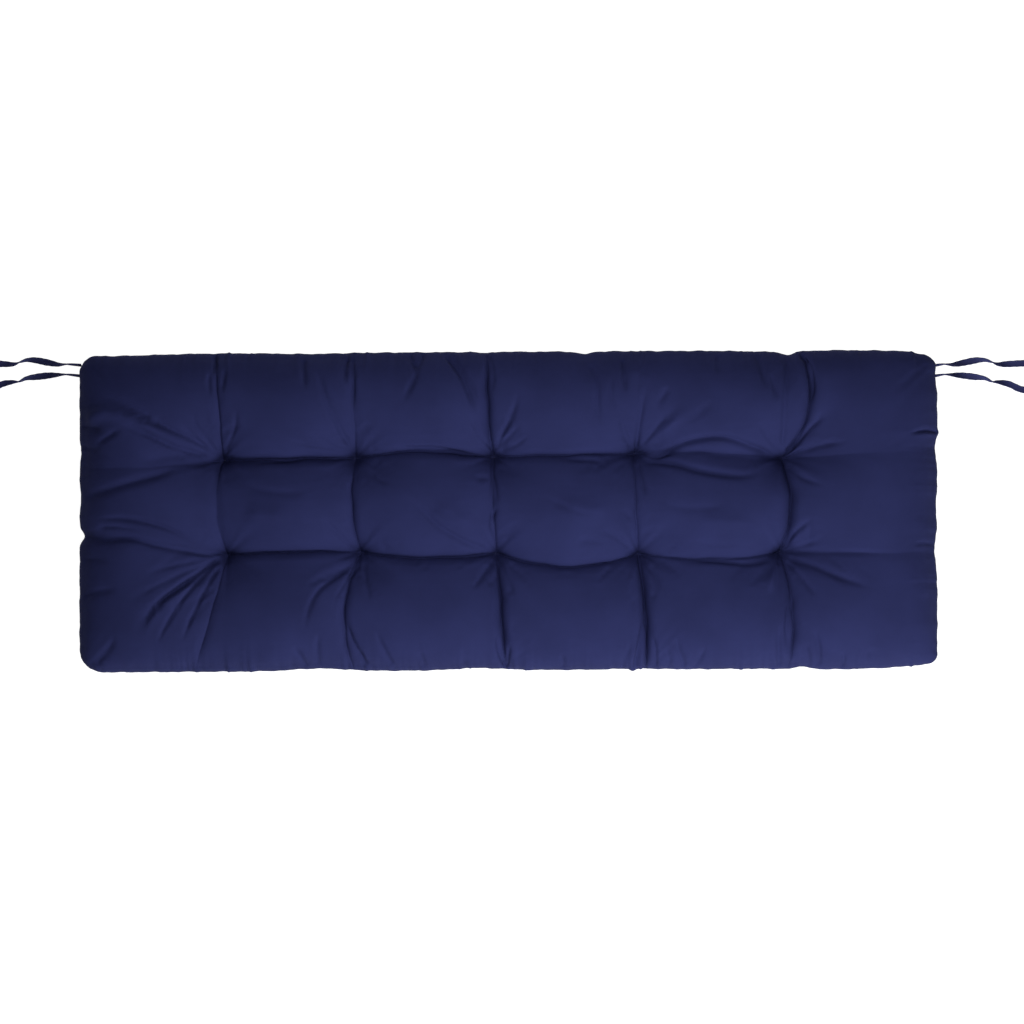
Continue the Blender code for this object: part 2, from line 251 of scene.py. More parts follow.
def column_shares(column, y):
    """How far y is along a column's back, middle and front stretch, each from its tack outwards."""
    upper = column.upper_y * MM
    lower = column.lower_y * MM
    back = (y - upper) / (WIDTH / 2 - upper)
    middle = (upper - y) / (upper - lower)
    front = (lower - y) / (WIDTH / 2 + lower)
    return [np.clip(share, 0, 1) for share in (back, middle, front)]


def column_x(column, y):
    shares = column_shares(column, y)
    starts = (column.upper_x, column.upper_x, column.lower_x)
    ends = (column.back_x, column.lower_x, column.front_x)
    back, middle, front = [bowed(*stretch) for stretch in zip(starts, ends, column.bows, shares)]
    return np.where(shares[0] > 0, back, np.where(shares[2] > 0, front, middle)) * MM


def tuft_place(column, row_number):
    if row_number == 0:
        return column.lower_x * MM, column.lower_y * MM
    return column.upper_x * MM, column.upper_y * MM


TUFTS = [tuft_place(column, number) for number in range(len(ROWS)) for column in COLUMNS]


def row_places(row_number):
    row = ROWS[row_number]
    inner = [tuft_place(column, row_number) for column in COLUMNS]
    return [(-LENGTH / 2, row.left_y * MM)] + inner + [(LENGTH / 2, row.right_y * MM)]


def row_gap(row_number, x):
    places = row_places(row_number)
    stops = np.array([place[0] for place in places])
    gap = np.clip(np.searchsorted(stops, x) - 1, 0, len(stops) - 2)
    share = np.clip((x - stops[gap]) / (stops[gap + 1] - stops[gap]), 0, 1)
    return gap, share


def row_y(row_number, x):
    gap, share = row_gap(row_number, x)
    heights = np.array([place[1] for place in row_places(row_number)]) / MM
    bows = np.array(ROWS[row_number].bows)
    return bowed(heights[gap], heights[gap + 1], bows[gap], share) * MM


def lines_across(y):
    """The X places of the left end, the five columns and the right end."""
    return [end_x(-1, y)] + [column_x(column, y) for column in COLUMNS] + [end_x(1, y)]


def lines_along(x):
    """The Y places of the front edge, the two rows and the back edge."""
    return [edge_y(-1, x), row_y(0, x), row_y(1, x), edge_y(1, x)]


print("tacks", len(TUFTS))

# %% [markdown]
# ## A grid of points that follows the channels
#
# Even squares would cut across a channel and show steps along it. These lines bend with the
# channels instead, and crowd together beside them and at the sewn edge, so each crease gets a clean
# line of points. Every second line is enough for the underside, which nobody looks at closely.

# %% Lay the lines of the grid
EDGE_ROUND = 0.105
EDGE_POWER = 2.45
RIM_LINES = 32
CHANNEL_FIRST = 0.0013
CHANNEL_GROWTH = 1.12
MIDDLE_STEP = 0.0025


def rim_steps():
    """Distances in from the seam that are even along the rounded edge."""
    turn = np.linspace(0, math.pi / 2, RIM_LINES + 1)
    return EDGE_ROUND * (1 - np.cos(turn) ** (2 / EDGE_POWER))


def channel_steps():
    steps = [0.0]
    stride = CHANNEL_FIRST
    while stride < MIDDLE_STEP:
        steps.append(steps[-1] + stride)
        stride *= CHANNEL_GROWTH
    return np.array(steps)


def gap_lines(gap, gaps, size):
    """How one gap's lines are laid: the near steps, the number between, and the far steps."""
    near = rim_steps() if gap == 0 else channel_steps()
    far = rim_steps() if gap == gaps - 1 else channel_steps()
    room = size - near[-1] - far[-1]
    fill = max(int(room / MIDDLE_STEP), 1)
    lines = len(near) + fill + len(far) - 1
    # An even number of steps, so that every second line can be left out on the underside
    fill += lines % 2
    return near, fill, far


def all_gap_lines(sizes):
    return [gap_lines(number, len(sizes), size) for number, size in enumerate(sizes)]


# About how long and how wide the pillows are, which sets how many lines each gap gets
GAPS_ALONG = all_gap_lines([0.215, 0.2, 0.205, 0.21, 0.218, 0.234])
GAPS_ACROSS = all_gap_lines([0.18, 0.14, 0.16])
print("steps beside the seam", RIM_LINES, "and beside a channel", len(channel_steps()) - 1)

# %% Find where the bent lines cross
CROSSING_ROUNDS = 8


def line_count(gaps):
    return sum(len(near) + fill + len(far) - 1 for near, fill, far in gaps) + 1


def line_places(anchors, gaps):
    places = []
    for (near, fill, far), start, end in zip(gaps, anchors, anchors[1:]):
        low = [start + step for step in near]
        high = [end - step for step in far[::-1]]
        stride = (high[0] - low[-1]) / (fill + 1)
        places += low + [low[-1] + stride * number for number in range(1, fill + 1)] + high[:-1]
    return np.array(places + [anchors[-1]])


def crossings():
    """The plan places where the bent lines cross, found by going back and forth between them."""
    x = np.zeros((line_count(GAPS_ALONG), line_count(GAPS_ACROSS)))
    y = np.zeros_like(x)
    column_number = np.arange(x.shape[0])[:, None]
    row_number = np.arange(x.shape[1])[None, :]
    for _ in range(CROSSING_ROUNDS):
        x = line_places(lines_across(y), GAPS_ALONG)[column_number, column_number, row_number]
        y = line_places(lines_along(x), GAPS_ACROSS)[row_number, column_number, row_number]
    return x, y


plan_x, plan_y = crossings()
print("grid", plan_x.shape)

# %% [markdown]
# ## The filled form
#
# From the sewn edge the cloth rises in a full curve to the crown. Each channel takes that height
# away again: broadly, because the filling is squeezed there, and then in a narrow crease where two
# pillows of filling meet. It is deepest at a tack and shallower midway between tacks.

# %% Sizes of the filled form, and the curves it is made of
CROWN_HEIGHT = 0.107
SEAM_BAND = 0.005
PILLOW_DEPTH_X = 0.0135
PILLOW_DEPTH_Y = 0.022
# How far in from the ends and the long sides the cloth takes to rise to the crown
END_ROUND = 0.135
SIDE_ROUND = 0.108
# How far the outer channels' broad hollows reach towards the ends and the long sides
END_REACH = 0.107
SIDE_REACH = 0.110
VALLEY_DEPTH = 0.0130
VALLEY_WIDTH = 0.014
TUFT_DEPTH = 0.018
TUFT_SPREAD = 0.015
MIDWAY_SHARE = 0.92
TACK_LINE = 0.70
END_SHARES = [0.33, 0.12]
# How steeply a channel's line and its hollow fade on the way out to the seam
COLUMN_LINE_FADE = 6
ROW_LINE_FADE = 7
COLUMN_HOLLOW_FADE = 1.2
ROW_HOLLOW_FADE = 2
FADE_IN = 0.05
# A channel turns from a soft dip to a sharp line as its strength passes from the first to the sum
SHARP_FROM = 0.2
SHARP_OVER = 0.35
DIP_DEPTH = 0.6
DIP_NARROWING = 1.6
# Millimetres for each pillow, left to right: front row, middle row, back row
PLUMPNESS = [[-6, -0.5, 0, -2.5, -2, 4], [-1.5, -0.5, 0, 1.5, 0.5, 1.5], [-5, 1, -1, -1, -1, -6]]
# How far, in millimetres, the filling of the inner pillows has slid to the front and to the right
SLID_FORWARD = 7.5
SLID_RIGHT = 7.0


def rise(distance, reach):
    share = np.clip(distance / reach, 0, 1)
    return (1 - (1 - share) ** EDGE_POWER) ** (1 / EDGE_POWER)


def trough(distance, width, strength=1.0):
    return strength / (1 + (distance / width) ** 2) ** 1.5


def valley(distance, width, strength):
    """Round shoulders that meet in a sharp line, or a soft dip where the channel is weak."""
    share = np.clip(1 - np.abs(distance) / width, 0, 1)
    sharp = np.clip((strength - SHARP_FROM) / SHARP_OVER, 0, 1)
    shoulders = sharp * (1 - np.sqrt(1 - share ** 2))
    dip = (1 - sharp) * DIP_DEPTH * np.exp(-(DIP_NARROWING * distance / width) ** 2)
    return strength * (shoulders + dip)


def edge_distances(x, y):
    along = np.minimum(x - end_x(-1, y), end_x(1, y) - x)
    across = np.minimum(y - edge_y(-1, x), edge_y(1, x) - y)
    return np.maximum(along, 0), np.maximum(across, 0)


deepest = VALLEY_DEPTH * max(max(channel.shares) for channel in COLUMNS + ROWS)
print("deepest channel line mm", round(deepest / MM, 1))

# %% The channels as seen from a point
# How strong a channel's hollow and line are here, how far it is, and how far its hollow reaches
Channel = namedtuple("Channel", "hollow line distance before after")


def between_tacks(share, least):
    """A line's strength from tack to tack: most beside the tacks, least midway."""
    return least + (TACK_LINE - least) * (2 * share - 1) ** 4


def column_channels(x, y):
    lines = [column_x(column, y) for column in COLUMNS]
    channels = []
    for number, column in enumerate(COLUMNS):
        back, middle, front = column_shares(column, y)
        outside = np.maximum(back, front)
        outer = END_SHARES[0] + (1 - END_SHARES[0]) * (1 - outside) ** COLUMN_HOLLOW_FADE
        inner = MIDWAY_SHARE + (1 - MIDWAY_SHARE) * (2 * middle - 1) ** 2
        hollow = np.where(outside > 0, outer, inner)
        back_least, middle_least, front_least = column.shares
        back_line = back_least + (TACK_LINE - back_least) * (1 - back) ** COLUMN_LINE_FADE
        front_line = front_least + (TACK_LINE - front_least) * (1 - front) ** COLUMN_LINE_FADE
        middle_line = between_tacks(middle, middle_least)
        line = np.where(back > 0, back_line, np.where(front > 0, front_line, middle_line))
        before = (lines[number] - lines[number - 1]) / 2 if number else END_REACH
        after = (lines[number + 1] - lines[number]) / 2 if number < len(COLUMNS) - 1 else END_REACH
        channels.append(Channel(hollow, line, x - lines[number], before, after))
    return channels


def row_channels(x, y):
    lines = [row_y(number, x) for number in range(len(ROWS))]
    half_gap = (lines[1] - lines[0]) / 2
    channels = []
    for number, row in enumerate(ROWS):
        gap, share = row_gap(number, x)
        to_tack = np.where(gap == 0, share, 1 - share)
        outside = (gap == 0) | (gap == len(COLUMNS))
        end_share = np.where(gap == 0, END_SHARES[0], END_SHARES[1])
        outer = end_share + (1 - end_share) * to_tack ** ROW_HOLLOW_FADE
        inner = MIDWAY_SHARE + (1 - MIDWAY_SHARE) * (2 * share - 1) ** 2
        least = np.array(row.shares)[gap]
        outer_line = least + (TACK_LINE - least) * to_tack ** ROW_LINE_FADE
        line = np.where(outside, outer_line, between_tacks(share, least))
        before = SIDE_REACH if number == 0 else half_gap
        after = half_gap if number == 0 else SIDE_REACH
        channels.append(Channel(np.where(outside, outer, inner), line, y - lines[number], before, after))
    return channels


def pillow(channels):
    """1 on a channel and 0 midway to the next, along a round arc."""
    fields = []
    for channel in channels:
        reach = np.where(channel.distance < 0, channel.before, channel.after)
        fields.append(channel.hollow * np.clip(1 - np.abs(channel.distance) / reach, 0, 1) ** 2)
    return np.max(fields, axis=0)


def channel_lines(channels, shape, width):
    return np.max([shape(channel.distance, width, channel.line) for channel in channels], axis=0)


def tuft_field(x, y, spread):
    return np.max([trough(np.hypot(x - tx, y - ty), spread) for tx, ty in TUFTS], axis=0)


near_tack = (TUFTS[0][0] + 0.02, TUFTS[0][1])
print("tuft field 2 cm from a tack", round(float(tuft_field(*near_tack, TUFT_SPREAD)), 2))


# %% Height of the top panel
def plumpness(x, y):
    """How much fuller each pillow is than the average, most at its middle."""
    columns = lines_across(y)
    rows = lines_along(x)
    total = np.zeros_like(x)
    for j, amounts in enumerate(PLUMPNESS):
        for i, amount in enumerate(amounts):
            u = (x - columns[i]) / (columns[i + 1] - columns[i]) * 2 - 1
            v = (y - rows[j]) / (rows[j + 1] - rows[j]) * 2 - 1
            inside = (np.abs(u) <= 1) & (np.abs(v) <= 1)
            slid = SLID_RIGHT * u - SLID_FORWARD * v if 0 < i < len(amounts) - 1 else 0
            total += (amount + slid) * MM * np.where(inside, (1 - u * u) * (1 - v * v), 0)
    return total


def top_height(x, y):
    along, across = edge_distances(x, y)
    body = rise(along, END_ROUND) * rise(across, SIDE_ROUND)
    fade = np.sqrt(np.clip(np.minimum(along, across) / FADE_IN, 0, 1))
    columns = column_channels(x, y)
    rows = row_channels(x, y)
    hollow = PILLOW_DEPTH_X * pillow(columns) + PILLOW_DEPTH_Y * pillow(rows)
    lines = [channel_lines(channels, valley, VALLEY_WIDTH) for channels in (columns, rows)]
    hollow = hollow + VALLEY_DEPTH * np.maximum(*lines) + TUFT_DEPTH * tuft_field(x, y, TUFT_SPREAD)
    lowest = SEAM_HEIGHT + SEAM_BAND / 2
    return lowest + (CROWN_HEIGHT - lowest) * body - hollow * fade + plumpness(x, y)


top_z = top_height(plan_x, plan_y)
print("crown", round(float(top_z.max()), 4))

# %% Height of the underside, which lies flat between its dimples
BASE_EDGE_ROUND = 0.060
BASE_TUFT_DEPTH = 0.013
BASE_TUFT_SPREAD = 0.020
BASE_CHANNEL_DEPTH = 0.004
BASE_WIDTH = 0.016
# Channels and dimples show on the underside only where they are stronger than these
BASE_CHANNEL_CUT = 0.35
BASE_TUFT_CUT = 0.12


def strongest_line(x, y, width):
    both = [channel_lines(channels(x, y), trough, width) for channels in (column_channels, row_channels)]
    return np.maximum(*both)


def base_height(x, y):
    along, across = edge_distances(x, y)
    body = rise(along, BASE_EDGE_ROUND) * rise(across, BASE_EDGE_ROUND)
    hollow = np.maximum(strongest_line(x, y, BASE_WIDTH) - BASE_CHANNEL_CUT, 0) * BASE_CHANNEL_DEPTH
    tufts = np.maximum(tuft_field(x, y, BASE_TUFT_SPREAD) - BASE_TUFT_CUT, 0)
    hollow = hollow + tufts * BASE_TUFT_DEPTH
    return (SEAM_HEIGHT - SEAM_BAND / 2) * (1 - body) + hollow * body


base_z = base_height(plan_x, plan_y)
print("underside", round(float(base_z.min()), 4))

# %% [markdown]
# ## Let the cloth find its own wrinkles
#
# A coarse copy of the top panel is run as cloth. It is held at the seam, at the tacks and, less
# firmly, along the channels, it is cut one percent too large, and air pressure stands for the
# filling. The spare cloth buckles as real cloth does. Only the movement is kept, capped, and read
# back onto the fine grid; the coarse panel is then deleted.

# %% A coarse panel and how firmly it is held
PANEL_STEP = 0.0065
PANEL_ROUNDS = 6
# The cut is as long as the filled form's lines, leaving out the longest tenth, and a little more
CUT_PERCENT = 90
CUT_SPARE = 1.01
# A point is pinned where a tack's pull on it is above this, and the channels hold by a share
TACK_PULL = 0.3
CHANNEL_HOLD = 0.45


def even_crossings(columns, rows):
    s = np.linspace(0, 1, columns)[:, None] * np.ones((1, rows))
    t = np.ones((columns, 1)) * np.linspace(0, 1, rows)[None, :]
    x = (s - 0.5) * LENGTH
    y = (t - 0.5) * WIDTH
    for _ in range(PANEL_ROUNDS):
        x = end_x(-1, y) + (end_x(1, y) - end_x(-1, y)) * s
        y = edge_y(-1, x) + (edge_y(1, x) - edge_y(-1, x)) * t
    return x, y


def grid_faces(columns, rows, first=0):
    corners = [first + i * rows + j for i in range(columns - 1) for j in range(rows - 1)]
    return [(a, a + rows, a + rows + 1, a + 1) for a in corners]


def hold_weights(x, y):
    """1 where the cloth is pinned, at the seam and the tacks, and less along the channels."""
    seam = np.where(np.minimum(*edge_distances(x, y)) < PANEL_STEP / 2, 1.0, 0.0)
    tacks = np.where(tuft_field(x, y, PANEL_STEP) > TACK_PULL, 1.0, 0.0)
    return np.maximum(np.maximum(seam, tacks), CHANNEL_HOLD * strongest_line(x, y, PANEL_STEP) ** 2)


def flat_cut(points):
    """The same grid as it was cut: flat, and as long and as wide as the filled form needs."""
    runs = [np.linalg.norm(np.diff(points, axis=n), axis=2).sum(axis=n) for n in (0, 1)]
    longest, widest = [np.percentile(run, CUT_PERCENT) * CUT_SPARE for run in runs]
    print("cut size", round(float(longest), 3), round(float(widest), 3))
    shares = [np.linspace(-0.5, 0.5, count) for count in points.shape[:2]]
    x, y = np.meshgrid(*shares, indexing="ij")
    return np.dstack([x * longest, y * widest, np.full(x.shape, SEAM_HEIGHT)])


panel_x, panel_y = even_crossings(round(LENGTH / PANEL_STEP), round(WIDTH / PANEL_STEP))
panel = np.dstack([panel_x, panel_y, top_height(panel_x, panel_y)])
print("coarse panel", panel_x.shape)

# %% Run the panel as cloth
CLOTH_FRAMES = 20
CLOTH_SETTINGS = {
    "quality": 6, "mass": 0.0003, "tension_stiffness": 60, "compression_stiffness": 20,
    "shear_stiffness": 6, "bending_stiffness": 1.5, "use_pressure": True, "uniform_pressure_force": 20,
}
# A vertex group is filled one strength at a time, so the hold is rounded to this many levels
HOLD_LEVELS = 20


def settle_panel(points, weights):
    """Runs the panel as cloth and gives back where its points end."""
    mesh = bpy.data.meshes.new("settling_panel")
    mesh.from_pydata(points.reshape(-1, 3).tolist(), [], grid_faces(*points.shape[:2]))
    item = add_object("settling_panel", mesh)
    item.shape_key_add(name="filled")
    cut = item.shape_key_add(name="cut")
    cut.data.foreach_set("co", flat_cut(points).ravel())
    held = item.vertex_groups.new(name="held")
    levels = np.round(weights.ravel() * HOLD_LEVELS).astype(int)
    for level in np.unique(levels):
        held.add(np.flatnonzero(levels == level).tolist(), level / HOLD_LEVELS, "REPLACE")
    cloth = item.modifiers.new("cloth", "CLOTH")
    for setting, value in CLOTH_SETTINGS.items():
        setattr(cloth.settings, setting, value)
    cloth.settings.rest_shape_key = cut
    cloth.settings.vertex_group_mass = held.name
    cloth.settings.effector_weights.gravity = 0
    cloth.collision_settings.use_collision = False
    cloth.point_cache.frame_start = 1
    cloth.point_cache.frame_end = CLOTH_FRAMES
    for number in range(1, CLOTH_FRAMES + 1):
        bpy.context.scene.frame_set(number)
    settled = item.evaluated_get(bpy.context.evaluated_depsgraph_get()).to_mesh()
    ends = np.empty(len(settled.vertices) * 3)
    settled.vertices.foreach_get("co", ends)
    item.to_mesh_clear()
    bpy.data.objects.remove(item)
    bpy.context.scene.frame_set(1)
    return ends.reshape(points.shape)


settled = panel
settled = settle_panel(panel, hold_weights(panel_x, panel_y))
print("longest move mm", round(float(np.linalg.norm(settled - panel, axis=2).max()) / MM, 1))

# %% Read the cloth's movement onto the fine grid
MOST_MOVE = 0.006


def cubic_weights(t):
    """The shares of four neighbours in a row at the place t between the middle two."""
    return [(-t + 2 * t ** 2 - t ** 3) / 2, (2 - 5 * t ** 2 + 3 * t ** 3) / 2,
            (t + 4 * t ** 2 - 3 * t ** 3) / 2, (t ** 3 - t ** 2) / 2]


def read_grid(grid, s, t):
    """A smooth reading of an even grid of vectors at the shares s and t (Catmull-Rom)."""
    columns, rows = grid.shape[:2]
    a = np.clip(s, 0, 1) * (columns - 1)
    b = np.clip(t, 0, 1) * (rows - 1)
    i = np.minimum(a.astype(int), columns - 2)
    j = np.minimum(b.astype(int), rows - 2)
    total = np.zeros((*s.shape, grid.shape[2]))
    for m, across in enumerate(cubic_weights(a - i)):
        for n, down in enumerate(cubic_weights(b - j)):
            near = grid[np.clip(i + m - 1, 0, columns - 1), np.clip(j + n - 1, 0, rows - 1)]
            total += near * (across * down)[..., None]
    return total


def capped(moves):
    """The same moves, bent over smoothly so that none is longer than MOST_MOVE."""
    size = np.maximum(np.linalg.norm(moves, axis=2, keepdims=True), 1e-9)
    return moves / size * MOST_MOVE * np.tanh(size / MOST_MOVE)


share_x = (plan_x - end_x(-1, plan_y)) / (end_x(1, plan_y) - end_x(-1, plan_y))
share_y = (plan_y - edge_y(-1, plan_x)) / (edge_y(1, plan_x) - edge_y(-1, plan_x))
cloth_moves = read_grid(capped(settled - panel), share_x, share_y)
print("mean move mm", round(float(np.linalg.norm(cloth_moves, axis=2).mean()) / MM, 2))
